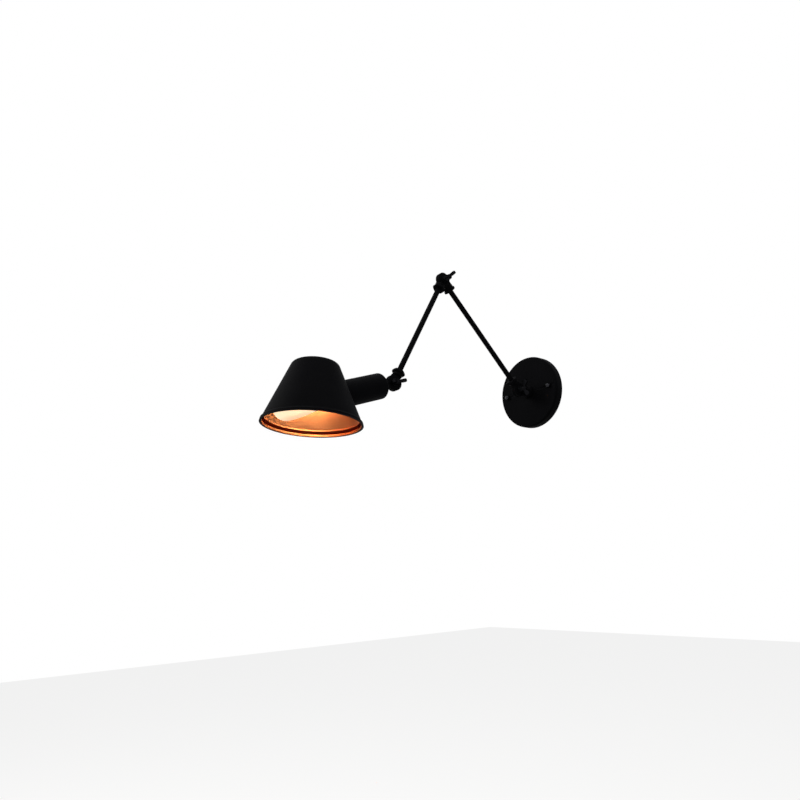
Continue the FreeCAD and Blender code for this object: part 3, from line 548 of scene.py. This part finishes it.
def frosted_glow(name, glow, limb, strength, belly, axis):
    """Etched glass of a lit bulb: its glow is strong above near the cap and dimmed to cream below; the peach
    at the lowest part is painted shade for the bulb's dimmer slanted edge.
    """
    material, tree = new_finish(name)
    place = add(tree, "ShaderNodeTexCoord").outputs["Object"]
    etch = noise(tree, place, ETCHING)
    away = add(tree, "ShaderNodeVectorMath", {0: place, 1: belly}, operation="SUBTRACT").outputs[0]
    down = Vector((0, 0, -1))
    under = (down - axis * axis.dot(down)).normalized()
    along, below = (add(tree, "ShaderNodeVectorMath", {0: away, 1: way},
                        operation="DOT_PRODUCT").outputs["Value"] for way in (axis, under))
    # Where the light fades from strong to creamy, in millimetres from the widest ring's middle.
    power, creamy = strength, 0.97
    for distance, bright, dim in ((along, -42, 14), (below, -6, 7)):
        power = add(tree, "ShaderNodeMapRange", {
            "Value": distance, "From Min": bright * MM, "From Max": dim * MM, "To Min": power,
            "To Max": creamy}, interpolation_type="SMOOTHSTEP").outputs["Result"]
    # Painted shade: towards the lowest part the glow turns from cream to peach, for the dimmer edge of the
    # bulb.
    painted_limb_shade = add(tree, "ShaderNodeMapRange", {"Value": below, "From Min": 6.5 * MM, "From Max": 17.5 * MM})
    close_finish(tree, add(tree, "ShaderNodeBsdfPrincipled", {
        "Base Color": ramp(tree, etch, shade_of(hex_colour("#f6efe0"), 0.97), hex_colour("#fbf6ea")),
        "Roughness": 0.45, "IOR": 1.5, "Normal": relief(tree, etch, 0.1, 0.03),
        "Emission Color": ramp(tree, painted_limb_shade.outputs["Result"], glow, limb, 0.4, 1.0),
        "Emission Strength": power}))
    return material


FINISHES = {}


def make_finishes():
    """Every finish on the lamp, by the name of its record slot."""
    chosen = settings("finishes")
    peel, grit = chosen.orange_peel, chosen.grit
    FINISHES.update({
        "black_paint": powder_coat("powder_coat_black", list(chosen.black), 0.6, 0.012, peel, grit),
        "blackened_steel": plain_metal("black_oxide_steel", list(chosen.oxide), 0.5, 0.5, uneven=0.06,
                                       rim="#505050"),
        "black_nickel": plain_metal("black_nickel", hex_colour("#2c2c2f"), 0.26, 0.5, uneven=0.04),
        "zinc_steel": plain_metal("zinc_plated_steel", hex_colour("#b4b8ba"), 0.34, 0.8),
        "spring_steel": plain_metal("phosphated_spring_steel", hex_colour("#17181a"), 0.5, 0.4,
                                    rim="#606060"),
        # Painted shade: dark brown copper on the flare between the rolled edge and the bead. It makes a dark
        # line above the bright band that stands in for the shade falling in that crease.
        "painted_crease_shade": plain_metal("copper_with_painted_crease_shade", hex_colour("#4a1408"), 0.5, 0.6, rim="#6a3a20"),
        "brass": plain_metal("turned_brass", hex_colour("#c8a35a"), 0.3, 0.5),
        "bulb_metal": plain_metal("rolled_aluminium", hex_colour("#c9c8c4"), 0.32, 0.6),
        "green_screw": plain_metal("green_passivated_steel", hex_colour("#2f8a4a"), 0.4, 0.5),
        "fibre": vulcanised_fibre("vulcanised_fibre", hex_colour("#7d3020")),
        "block_plastic": moulded("moulded_nylon", hex_colour("#e6e3da"), 0.45, 0.6, flecks=1.03),
        "phenolic": moulded("phenolic_black", hex_colour("#17130f"), 0.32, 0.8, 0.4),
        "pvc": moulded("pvc_sheath", hex_colour("#141414"), 0.5, 0.5, 0.3),
        "bulb_glass": frosted_glow("frosted_bulb_glass", list(chosen.glow), list(chosen.limb),
                                   chosen.glow_strength, WRIST + CUP_AXIS * BULB_BELLY * MM, CUP_AXIS),
    })


# ---------------------------------------------------------------- pieces
class SCONCE_OT_wall_plate(bpy.types.Operator):
    """Canopy, mounting strap, studs, nuts and terminal block"""
    bl_idname = "sconce.wall_plate"
    bl_label = "Build wall plate"

    def execute(self, context):
        low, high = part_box("canopy")
        radius, depth = (high.x - low.x) / 2 / MM, -low.y / MM
        front, edge, wall, hole, stud_hole = depth, 3.2, 1.2, 5.05, 2.25
        rings = rounded([(hole, front - wall, 0.2), (radius - wall, front - wall, edge - wall),
                         (radius - wall, 0, 0.3), (radius, 0, 0.3), (radius, front, edge),
                         (hole, front, 0.2)], 8)
        canopy = placed(ringed(rings, 192), "canopy_shell", WALL, "canopy")
        spacing = 88.9
        for side in (-1, 1):
            drill = ringed([(0, front - 3), (stud_hole, front - 3), (stud_hole, front + 1), (0, front + 1)],
                           32, False)
            cut_away(canopy, drill, WALL @ Matrix.Translation(Vector((side * spacing / 2, 0, 0)) * MM))
        softened(settings("hardware").crisp_edge, "mounting_strap", "terminal_block", "earth_screw",
                 "earth_washer", "stud_nuts")
        self.cap_nuts(front, spacing)
        self.studs(front, spacing)
        repainted("terminal_clamps", "terminal_screws")
        return {"FINISHED"}

    def cap_nuts(self, front, spacing):
        """Two domed nuts on the canopy's front."""
        flats, skirt, dome, bore = 7.0, 3.0, 3.4, 2.05
        shapes = []
        for side in (-1, 1):
            rings = nut_rings(flats, front, front + skirt, bore)[:6]
            rings[-1] = (lambda turn: hexagon(flats, turn) * 0.985, front + skirt - 0.25)
            radius = (flats ** 2 / 4 + dome ** 2) / 2 / dome
            top = front + skirt
            for step in range(13):
                tilt = math.asin(min(1, 3.42 / radius)) * (1 - step / 12)
                rings.append((radius * math.sin(tilt), top + dome - radius * (1 - math.cos(tilt))))
            rings += [(0, top + 1.0), (bore, top + 0.4), (bore, front)]
            shapes.append(moved(ringed(rings, 96), Matrix.Translation((side * spacing / 2, 0, 0))))
        placed(joined(*shapes), "cap_nut_pair", WALL, "canopy_cap_nuts", materials=[FINISHES["black_nickel"]])

    def studs(self, front, spacing):
        """Two threaded studs between the strap and the cap nuts."""
        pitch = settings("hardware").stud_pitch / MM
        shapes = []
        for side in (-1, 1):
            rings = [(0, 0.0), (1.55, 0.0)] + thread_rings(1.98, 0.38, pitch, 0.1, front + 2.9) \
                + [(1.55, front + 3.0), (0, front + 3.0)]
            shapes.append(moved(ringed(rings, 36, False), Matrix.Translation((side * spacing / 2, 0, 0))))
        placed(joined(*shapes), "stud_pair", WALL, "canopy_studs", 60.0)


class SCONCE_OT_swivel(bpy.types.Operator):
    """The stem that turns in the canopy, with its washers and lock nut"""
    bl_idname = "sconce.swivel"
    bl_label = "Build swivel"

    def execute(self, context):
        sizes = settings("hardware")
        softened(sizes.soft_edge, "base_stem_knuckle")
        softened(sizes.crisp_edge, "swivel_lock_nut", "swivel_plain_washer")
        repainted("swivel_fibre_washer")
        self.wave_washer()
        return {"FINISHED"}

    def wave_washer(self):
        """A thin spring washer bent into three waves."""
        low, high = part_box("swivel_wave_washer")
        outer, inner = (high.x - low.x) / 2 / MM - 0.05, 5.2
        near, far = -high.y / MM, -low.y / MM
        middle, swing = (near + far) / 2, (far - near) / 2 - 0.12

        def face(offset):
            return lambda turn: middle + offset + swing * math.sin(3 * turn)
        rings = [(inner, face(-0.12)), (outer, face(-0.12)), (outer, face(0.12)), (inner, face(0.12))]
        placed(ringed(rings, 96), "wave_washer", WALL, "swivel_wave_washer")


class SCONCE_OT_hinges(bpy.types.Operator):
    """The three lapped hinges with their bolts, washers and springs"""
    bl_idname = "sconce.hinges"
    bl_label = "Build hinges"

    def execute(self, context):
        sizes = settings("hardware")
        softened(sizes.soft_edge, "arm_one_lower_knuckle", "arm_one_upper_knuckle", "arm_two_upper_knuckle",
                 "arm_two_lower_knuckle", "head_knuckle")
        for name, pivot in (("base", BASE), ("elbow", ELBOW), ("head", WRIST)):
            repainted(name + "_hinge_friction_washer")
            softened(sizes.crisp_edge, name + "_hinge_washer")
            if name + "_hinge_disc_springs" in frame["nodes"]:
                softened(sizes.crisp_edge, name + "_hinge_disc_springs")
            self.bolt(name, pivot)
        return {"FINISHED"}

    def bolt(self, name, pivot):
        """A hexagon bolt with a rolled thread on its free end."""
        low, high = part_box(name + "_hinge_bolt")
        start, tip = low.x / MM, high.x / MM
        pitch = settings("hardware").bolt_pitch / MM
        head_height, radius = 3.5, 2.5
        seat = start + head_height
        rings = nut_rings(8.0, start, seat, 0)[:-2]
        rings = [(0, start)] + rings + [(radius, seat)]
        rings += [(radius, 5.0)] + thread_rings(radius, 0.46, pitch, 5.2, tip - 0.1)
        rings += [(radius - 0.7, tip), (0, tip)]
        placed(ringed(rings, 72, False), name + "_bolt", hinge_frame(pivot), name + "_hinge_bolt", 40.0)


class SCONCE_OT_wing_nuts(bpy.types.Operator):
    """The three cast wing nuts"""
    bl_idname = "sconce.wing_nuts"
    bl_label = "Build wing nuts"

    def execute(self, context):
        for name in ("base", "elbow", "head"):
            # The cast skin takes the place of the soft edges.
            piece = softened(0, name + "_hinge_wing_nut")
            piece.modifiers.clear()
            cast = piece.modifiers.new("cast_skin", "REMESH")
            cast.mode = "VOXEL"
            cast.voxel_size = 0.22 * MM
            cast.use_smooth_shade = True
            smooth = piece.modifiers.new("cast_fillets", "SMOOTH")
            smooth.factor = 0.5
            smooth.iterations = 8
        return {"FINISHED"}


class SCONCE_OT_arms(bpy.types.Operator):
    """The two tube arms with their lock nuts and cables"""
    bl_idname = "sconce.arms"
    bl_label = "Build arms"

    def execute(self, context):
        for arm, near, far, ends in (("arm_one", BASE, ELBOW, ("lower", "upper")),
                                     ("arm_two", ELBOW, WRIST, ("upper", "lower"))):
            matrix, span = length_frame(near, far - near), (far - near).length / MM
            low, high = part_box(arm + "_tube")
            beside = matrix @ Matrix.Translation(((low.x + high.x) / 2, 0, 0))
            start, bore, radius, cord = 12.7, 3.1, 4.1, 2.7
            placed(ringed(tube(bore, radius, start, span - start), 64), arm + "_pipe", beside, arm + "_tube")
            placed(ringed(tube(0, cord, start, span - start, 0.3), 48, False), arm + "_cord", beside,
                   arm + "_cable")
            nut = nut_rings(across_flats=17.0, low=16.7, high=21.3, bore=4.15, edge=0.25)
            for end in ends:
                spot = beside if end == ends[0] else beside @ Matrix.Translation((0, 0, span * MM)) \
                    @ Matrix.Rotation(math.pi, 4, "X")
                placed(ringed(nut, 96), f"{arm}_{end}_nut", spot, f"{arm}_{end}_lock_nut")
        return {"FINISHED"}


# Steps of each rounded corner of the rolled edge and of the flare above it.
ROLL_STEPS, FLARE_STEPS = 4, 8


def shade_frame():
    """The shade's matrix, with its rim centre at the origin and Z up its axis, and its cone's half angle."""
    sizes = settings("shade")
    half = math.atan((sizes.cone - sizes.top) / 2 / (sizes.height - sizes.cone_height))
    fall = math.atan2(-CUP_AXIS.z, -CUP_AXIS.y)
    lean = Matrix.Rotation(fall - half, 4, "X")
    seat = WRIST + CUP_AXIS * CUP_REACH * MM
    radius = sizes.top / 2 + (sizes.height - sizes.seat) * math.tan(half)
    return Matrix.Translation(seat - lean @ Vector((0, radius, sizes.seat))) @ lean, half


def shade_meeting(radius, turn):
    """How far along the cup's axis a line beside it meets the shade's cone."""
    matrix, half = shade_frame()
    into = matrix.inverted() @ HEAD
    sizes = settings("shade")
    # The cone lies between these two places along the axis, in metres; halving finds it.
    low, high = 0.04, 0.11
    for _ in range(40):
        middle = (low + high) / 2
        spot = into @ Vector((radius * MM * math.cos(turn), radius * MM * math.sin(turn), middle))
        cone = sizes.top / 2 + (sizes.height - spot.z) * math.tan(half)
        if math.hypot(spot.x, spot.y) > cone:
            low = middle
        else:
            high = middle
    return low / MM


class SCONCE_OT_socket(bpy.types.Operator):
    """The cup and the lampholder inside it"""
    bl_idname = "sconce.socket"
    bl_label = "Build socket"

    def execute(self, context):
        outer, wall, corner, start, end_wall, hole = 18.2, 1.0, 4.5, 23.0, 1.2, 5.2
        reach = 60.0
        rings = rounded([(outer - wall, reach), (outer - wall, start + end_wall, corner - wall),
                         (hole, start + end_wall, 0.2), (hole, start, 0.2), (outer, start, corner),
                         (outer, reach)], 8)[1:-1]
        inside = outer - wall
        rings += [(outer, lambda turn: shade_meeting(outer, turn) - 0.35),
                  (outer - 0.2, lambda turn: shade_meeting(outer, turn) - 0.05),
                  (inside + 0.2, lambda turn: shade_meeting(inside + 0.2, turn) - 0.05),
                  (inside, lambda turn: shade_meeting(inside, turn) - 0.3)]
        placed(ringed(rings, 128), "cup_shell", HEAD, "socket_cup")
        softened(settings("hardware").crisp_edge, "head_lock_nut")
        self.nipple()
        self.holder()
        return {"FINISHED"}

    def nipple(self):
        """The threaded pipe that holds the cup and the lampholder."""
        low, high, outer, bore = 15.0, 64.0, 4.98, 3.2
        rings = [(bore, low)] + [(outer - 0.5, low)] + thread_rings(outer, 0.5, 1.0, low + 0.1, high - 0.1)
        rings += [(outer - 0.5, high), (bore, high)]
        placed(ringed(rings, 48), "nipple_pipe", HEAD, "head_nipple", 60.0)

    def holder(self):
        """Moulded lampholder with a threaded skirt, brass screw shell and centre contact."""
        pitch = settings("hardware").skirt_pitch / MM
        back, front, floor = HOLDER_BACK, HOLDER_FRONT, HOLDER_FLOOR
        radius, mouth, chamber, bore = 14.0, 9.0, 10.5, 7.53
        shell_top = floor + 20
        rings = [(chamber, back), (radius - 0.9, back)]
        rings += thread_rings(radius - 0.02, 0.8, pitch, back + 0.3, front - 6, 8, True)
        rings += rounded([(radius - 0.8, front - 5.9), (radius - 0.8, front, 1.2), (mouth, front, 0.8),
                          (mouth, shell_top)], 5)
        rings += [(bore, shell_top), (bore, floor), (0, floor), (0, floor - 4), (chamber, floor - 4)]
        placed(ringed(rings, 96), "holder_skirt", HEAD, "lampholder_body")
        flutes = 24

        def fluted(turn):
            return 13.5 - 0.3 * (0.5 - 0.5 * math.cos(flutes * turn))
        rings = [(5.05, 58), (11.5, 58), (12.7, 58.5), (13.2, 59.6), (fluted, 60.4), (fluted, 71.2),
                 (13.2, 71.9), (11.5, 72), (11.5, 64), (5.05, 64)]
        placed(ringed(rings, 144), "holder_back", HEAD, "lampholder_cap")
        rolled = settings("hardware").cap_pitch / MM
        inner, shell = 6.99, 0.4
        skin = thread_rings(inner + shell, 0.001, rolled, floor + 0.1, shell_top - 0.1, 12, True)
        back_skin = thread_rings(inner, 0.001, rolled, floor + 0.1, shell_top - 0.1, 12, True)[::-1]
        placed(ringed(skin + back_skin, 72), "rolled_shell", HEAD, "lampholder_screw_shell", 60.0)
        dome = [(0, floor), (2.5, floor), (2.5, floor + 0.9), (2.2, floor + 1.6), (1.4, floor + 1.9),
                (0, floor + 1.95)]
        placed(ringed(dome, 48, False), "contact_tongue", HEAD, "lampholder_contact")
        self.ring()

    def ring(self):
        """The ribbed ring that clamps the shade on the lampholder's thread."""
        low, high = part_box("shade_ring")
        centre = (HEAD.inverted() @ ((low + high) / 2)).z / MM
        thick, outer, bore, ribs = 5.0, 17.5, 14.05, 30

        def ribbed(turn):
            return outer - 0.55 * (0.5 - 0.5 * math.cos(ribs * turn)) ** 2
        start, end = centre - thick / 2, centre + thick / 2
        rings = [(bore, start), (outer - 0.7, start), (outer - 0.35, start + 0.15), (ribbed, start + 0.6),
                 (ribbed, end - 0.6), (outer - 0.7, end - 0.1), (outer - 1.1, end), (bore + 0.5, end),
                 (bore, end - 0.5)]
        placed(ringed(rings, 240), "shade_clamp_ring", HEAD, "shade_ring")


class SCONCE_OT_shade(bpy.types.Operator):
    """The spun cone shade with its copper inside"""
    bl_idname = "sconce.shade"
    bl_label = "Build shade"

    def execute(self, context):
        sizes = settings("shade")
        matrix = shade_frame()[0]
        outside = self.outline(0.0)
        inside = self.outline(sizes.wall / MM)
        rings = outside + inside[::-1]
        # Paint goes round the rim to half of the roll's lower corner; the dark brown painted shade of the
        # crease lies between roll and bead.
        roll = 2 * (ROLL_STEPS + 1)
        painted_crease_shade = FLARE_STEPS + 2
        paint = ROLL_STEPS // 2 + 1
        tints = [0] * len(outside) + [1] * (len(inside) - roll - painted_crease_shade) + [2] * painted_crease_shade
        tints += [1] * (roll - paint) + [0] * paint
        lining = copper_lacquer("copper_lacquer", list(settings("finishes").copper),
                                settings("finishes").spin_pitch, matrix)
        shade = placed(ringed(rings, 256, True, tints), "shade_spun", matrix, "shade", 25.0,
                       [FINISHES["black_paint"], lining, FINISHES["painted_crease_shade"]])
        hole, near, far = 14.2, 70, 112
        drill = ringed([(0, near), (hole, near), (hole, far), (0, far)], 96, False)
        cut_away(shade, drill, HEAD)
        return {"FINISHED"}

    def outline(self, inset):
        """The shade's outline from the rim to the pole, moved inwards by an inset."""
        sizes = settings("shade")
        cone_x, top_x, rim_x, band_x = (
            value / 2 / MM for value in (sizes.cone, sizes.top, sizes.rim, sizes.band))
        cone_z, top_z, band_z = (value / MM for value in (sizes.cone_height, sizes.height, sizes.band_height))
        half = math.atan((cone_x - top_x) / (top_z - cone_z))
        slope = inset / math.cos(half)
        shrink = inset * (1 - math.sin(half)) / math.cos(half)
        shoulder = sizes.shoulder / MM - shrink
        bend = shoulder * math.cos(half) / (1 - math.sin(half))
        if inset:
            lip, roll, corner = rim_x - sizes.roll_width / MM, sizes.roll_height / MM, sizes.roll_edge / MM
            points = rounded([(lip + 2, 0), (lip, 0, corner), (lip, roll, corner), (lip + 2, roll)],
                             ROLL_STEPS)[1:-1]
            points.append((band_x - inset, roll))
        else:
            points = [(rim_x + (band_x - rim_x) * step / 3, band_z * step / 3) for step in range(4)]
        start, end = Vector(points[-1]), Vector((cone_x - slope, cone_z))
        chord = end - start
        flare = sizes.flare / MM
        sag = flare - math.sqrt(flare ** 2 - chord.length ** 2 / 4)
        side = Vector((-chord.y, chord.x)).normalized()
        for step in range(1, FLARE_STEPS + 1):
            share = step / FLARE_STEPS
            points.append(tuple(start + chord * share + side * sag * 4 * share * (1 - share)))
        top = (top_x - shrink, top_z - inset)
        outline = rounded([points[-1], top + (bend,), (0, top[1])], 10)
        cone_end = Vector(outline[1])
        foot = end
        if inset:
            bead, rise = sizes.bead / MM, sizes.bead_height / MM
            back = foot + Vector((-math.tan(half), 1)) * rise
            points += rounded([tuple(foot), (foot.x - bead, foot.y, 0.35),
                               (foot.x - bead, foot.y + rise / 2, 0.6), tuple(back)], 3)[1:]
            foot = back
        for step in range(1, 24):
            points.append(tuple(foot.lerp(cone_end, step / 24)))
        return points + outline[1:-1] + [(top[0] / 2, top[1]), (0.0, top[1])]


class SCONCE_OT_bulb(bpy.types.Operator):
    """The lit frosted bulb and its screw cap"""
    bl_idname = "sconce.bulb"
    bl_label = "Build bulb"

    def execute(self, context):
        seat, button, insulator, cap_length = BULB_SEAT, 1.2, 2.0, 20.0
        cap = seat + button + insulator
        cap_top = cap + cap_length
        self.glass(cap_top)
        rolled = settings("hardware").cap_pitch / MM
        rings = [(0, cap), (5.2, cap), (6.0, cap + 0.3)]
        rings += thread_rings(6.93, 0.55, rolled, cap + 0.9, cap_top - 5, 14, True)
        rings += [(6.7, cap_top - 4.6), (6.9, cap_top - 3.6), (6.9, cap_top - 0.3), (6.75, cap_top),
                  (6.53, cap_top), (6.53, cap + 0.5), (0, cap + 0.5)]
        placed(ringed(rings, 96, False), "bulb_screw_cap", HEAD, "bulb_cap", 60.0)
        rings = [(0, seat + button), (3.5, seat + button), (4.6, seat + 1.6), (5.7, cap - 0.5), (6.0, cap),
                 (0, cap)]
        placed(ringed(rings, 64, False), "bulb_cap_insulator", HEAD, "bulb_insulator")
        rings = [(0, seat), (0.9, seat + 0.05), (1.7, seat + 0.3), (2.15, seat + 0.7), (2.2, seat + button),
                 (0, seat + button)]
        placed(ringed(rings, 48, False), "bulb_solder_button", HEAD, "bulb_contact")
        return {"FINISHED"}

    def glass(self, start):
        """The pear-shaped envelope, a real glass wall that runs into the cap."""
        wall, neck, belly, stem, rise = 0.8, 10.0, BULB_TIP - BULB_BELLY, 6.5, 8.0
        equator, shoulder = BULB_BELLY, start + rise
        run, climb = belly - neck, equator - shoulder
        flank = (run ** 2 + climb ** 2) / 2 / run

        def skin(inset):
            points = [(stem - inset, start - 7), (stem - inset, start + 0.6)]
            for step in range(1, 8):
                share = step / 8
                swell = 3 * share ** 2 - 2 * share ** 3
                points.append((stem + (neck - stem) * swell - inset, start + rise * share))
            for step in range(25):
                height = shoulder + climb * step / 24
                bulge = math.sqrt(flank ** 2 - (equator - height) ** 2)
                points.append((belly - flank + bulge - inset, height))
            for step in range(1, 17):
                tilt = math.pi / 2 * step / 16
                points.append(((belly - inset) * math.cos(tilt), equator + (belly - inset) * math.sin(tilt)))
            points[-1] = (0, points[-1][1])
            return points
        placed(ringed(skin(0) + skin(wall)[::-1], 128), "bulb_envelope", HEAD, "bulb_glass", 60.0)


# ---------------------------------------------------------------- studio
class SCONCE_OT_studio(bpy.types.Operator):
    """Floor, background, lamps and camera"""
    bl_idname = "sconce.studio"
    bl_label = "Build studio"

    def execute(self, context):
        studio = settings("studio")
        self.floor(studio)
        self.background(studio)
        for name, place, aim, size, power, tint in (
                ("key_lamp", (-1.6, -2.2, 1.5), (0, -0.25, 0), 1.6, 34.0, (1.0, 0.99, 0.97)),
                ("fill_lamp", (2.4, -1.2, 0.6), (0, -0.25, 0), 1.8, 16.0, (0.97, 0.98, 1.0)),
                ("top_lamp", (0.3, -0.4, 2.2), (0, -0.25, 0), 1.4, 12.0, (1.0, 1.0, 1.0))):
            self.lamp(name, Vector(place), Vector(aim), size, power, tint)
        self.camera(studio)
        view = context.scene.view_settings
        view.view_transform = "Standard"
        return {"FINISHED"}

    def floor(self, studio):
        """A plain pale floor well below the lamp."""
        mesh = bpy.data.meshes.new("studio_floor")
        reach, drop = 8.0, -studio.floor_drop
        corners = [(x * reach, y * reach, drop) for x, y in ((-1, -1), (1, -1), (1, 1), (-1, 1))]
        mesh.from_pydata(corners, [], [(0, 1, 2, 3)])
        plane = bpy.data.objects.new("studio_floor", mesh)
        bpy.context.scene.collection.objects.link(plane)
        material, tree = new_finish("studio_paper")
        # Matt paper; for the camera it is as white as the background, less the lamp's shadow.
        matt = add(tree, "ShaderNodeBsdfDiffuse", {"Color": hex_colour("#b4b4b1")})
        white = add(tree, "ShaderNodeEmission", {"Color": list(studio.backdrop),
                                                 "Strength": self.seen(tree, 0.85)})
        close_finish(tree, add(tree, "ShaderNodeAddShader", {0: matt.outputs[0], 1: white.outputs[0]}))
        mesh.materials.append(material)

    def seen(self, tree, strength):
        """A strength that only camera, glossy and transmitted rays meet."""
        path = add(tree, "ShaderNodeLightPath").outputs
        share = path["Is Camera Ray"]
        for ray in ("Is Glossy Ray", "Is Transmission Ray"):
            share = add(tree, "ShaderNodeMath", {0: share, 1: path[ray]}, operation="MAXIMUM").outputs[0]
        return add(tree, "ShaderNodeMath", {0: share, 1: strength}, operation="MULTIPLY").outputs[0]

    def background(self, studio):
        """White to the eye and in reflections, and a soft low light for the rest."""
        world = bpy.data.worlds.new("studio_world")
        bpy.context.scene.world = world
        world.use_nodes = True
        tree = world.node_tree
        tree.nodes.clear()
        share = self.seen(tree, 1.0)
        dim = add(tree, "ShaderNodeBackground", {"Color": (1, 1, 1, 1), "Strength": 0.06})
        white = add(tree, "ShaderNodeBackground", {"Color": list(studio.backdrop), "Strength": 1.0})
        both = add(tree, "ShaderNodeMixShader", {0: share, 1: dim.outputs[0], 2: white.outputs[0]})
        add(tree, "ShaderNodeOutputWorld", {"Surface": both.outputs[0]})

    def lamp(self, name, place, aim, size, power, tint):
        """A soft square lamp that faces a point."""
        light = bpy.data.lights.new(name, "AREA")
        light.shape = "SQUARE"
        light.size = size
        light.energy = power
        light.color = tint
        thing = bpy.data.objects.new(name, light)
        thing.location = place
        thing.rotation_euler = (aim - place).to_track_quat("-Z", "Y").to_euler()
        bpy.context.scene.collection.objects.link(thing)

    def camera(self, studio):
        """The camera, placed by its own angles."""
        turn, lift, roll = studio.azimuth, studio.elevation, studio.roll
        back = Vector((math.sin(turn) * math.cos(lift), -math.cos(turn) * math.cos(lift), math.sin(lift)))
        level = Vector((math.cos(turn), math.sin(turn), 0))
        rise = back.cross(level)
        right = level * math.cos(roll) + rise * math.sin(roll)
        up = rise * math.cos(roll) - level * math.sin(roll)
        lens = bpy.data.cameras.new("studio_camera")
        lens.lens = studio.lens
        lens.sensor_width = 36.0
        thing = bpy.data.objects.new("studio_camera", lens)
        axes = Matrix((right, up, back)).transposed().to_4x4()
        thing.matrix_world = Matrix.Translation(Vector(studio.camera_place)) @ axes
        bpy.context.scene.collection.objects.link(thing)
        bpy.context.scene.camera = thing


class SCONCE_PT_panel(bpy.types.Panel):
    """Sizes, finishes and build steps of the sconce"""
    bl_idname = "SCONCE_PT_panel"
    bl_label = "Swing arm sconce"
    bl_space_type = "VIEW_3D"
    bl_region_type = "UI"
    bl_category = "Sconce"

    def draw(self, context):
        for step in STEPS:
            self.layout.operator(step.bl_idname)
        for name, group in GROUPS.items():
            box = self.layout.box()
            box.label(text=name.capitalize())
            for setting in group.__annotations__:
                box.prop(settings(name), setting)


STEPS = (SCONCE_OT_wall_plate, SCONCE_OT_swivel, SCONCE_OT_hinges, SCONCE_OT_wing_nuts, SCONCE_OT_arms,
         SCONCE_OT_socket, SCONCE_OT_shade, SCONCE_OT_bulb, SCONCE_OT_studio)
CLASSES = (*GROUPS.values(), *STEPS, SCONCE_PT_panel)


def register():
    """Add the classes and hang the settings on the scene."""
    for thing in CLASSES:
        bpy.utils.register_class(thing)
    for name, group in GROUPS.items():
        setattr(bpy.types.Scene, "sconce_" + name, bpy.props.PointerProperty(type=group))


def unregister():
    """Take the settings and classes away again."""
    for name in GROUPS:
        delattr(bpy.types.Scene, "sconce_" + name)
    for thing in reversed(CLASSES):
        bpy.utils.unregister_class(thing)


def main():
    """Build the lamp and the studio."""
    register()
    make_finishes()
    for step in STEPS:
        group, name = step.bl_idname.split(".")
        getattr(getattr(bpy.ops, group), name)()
    bpy.context.view_layer.update()


if __name__ == "__main__":
    main()
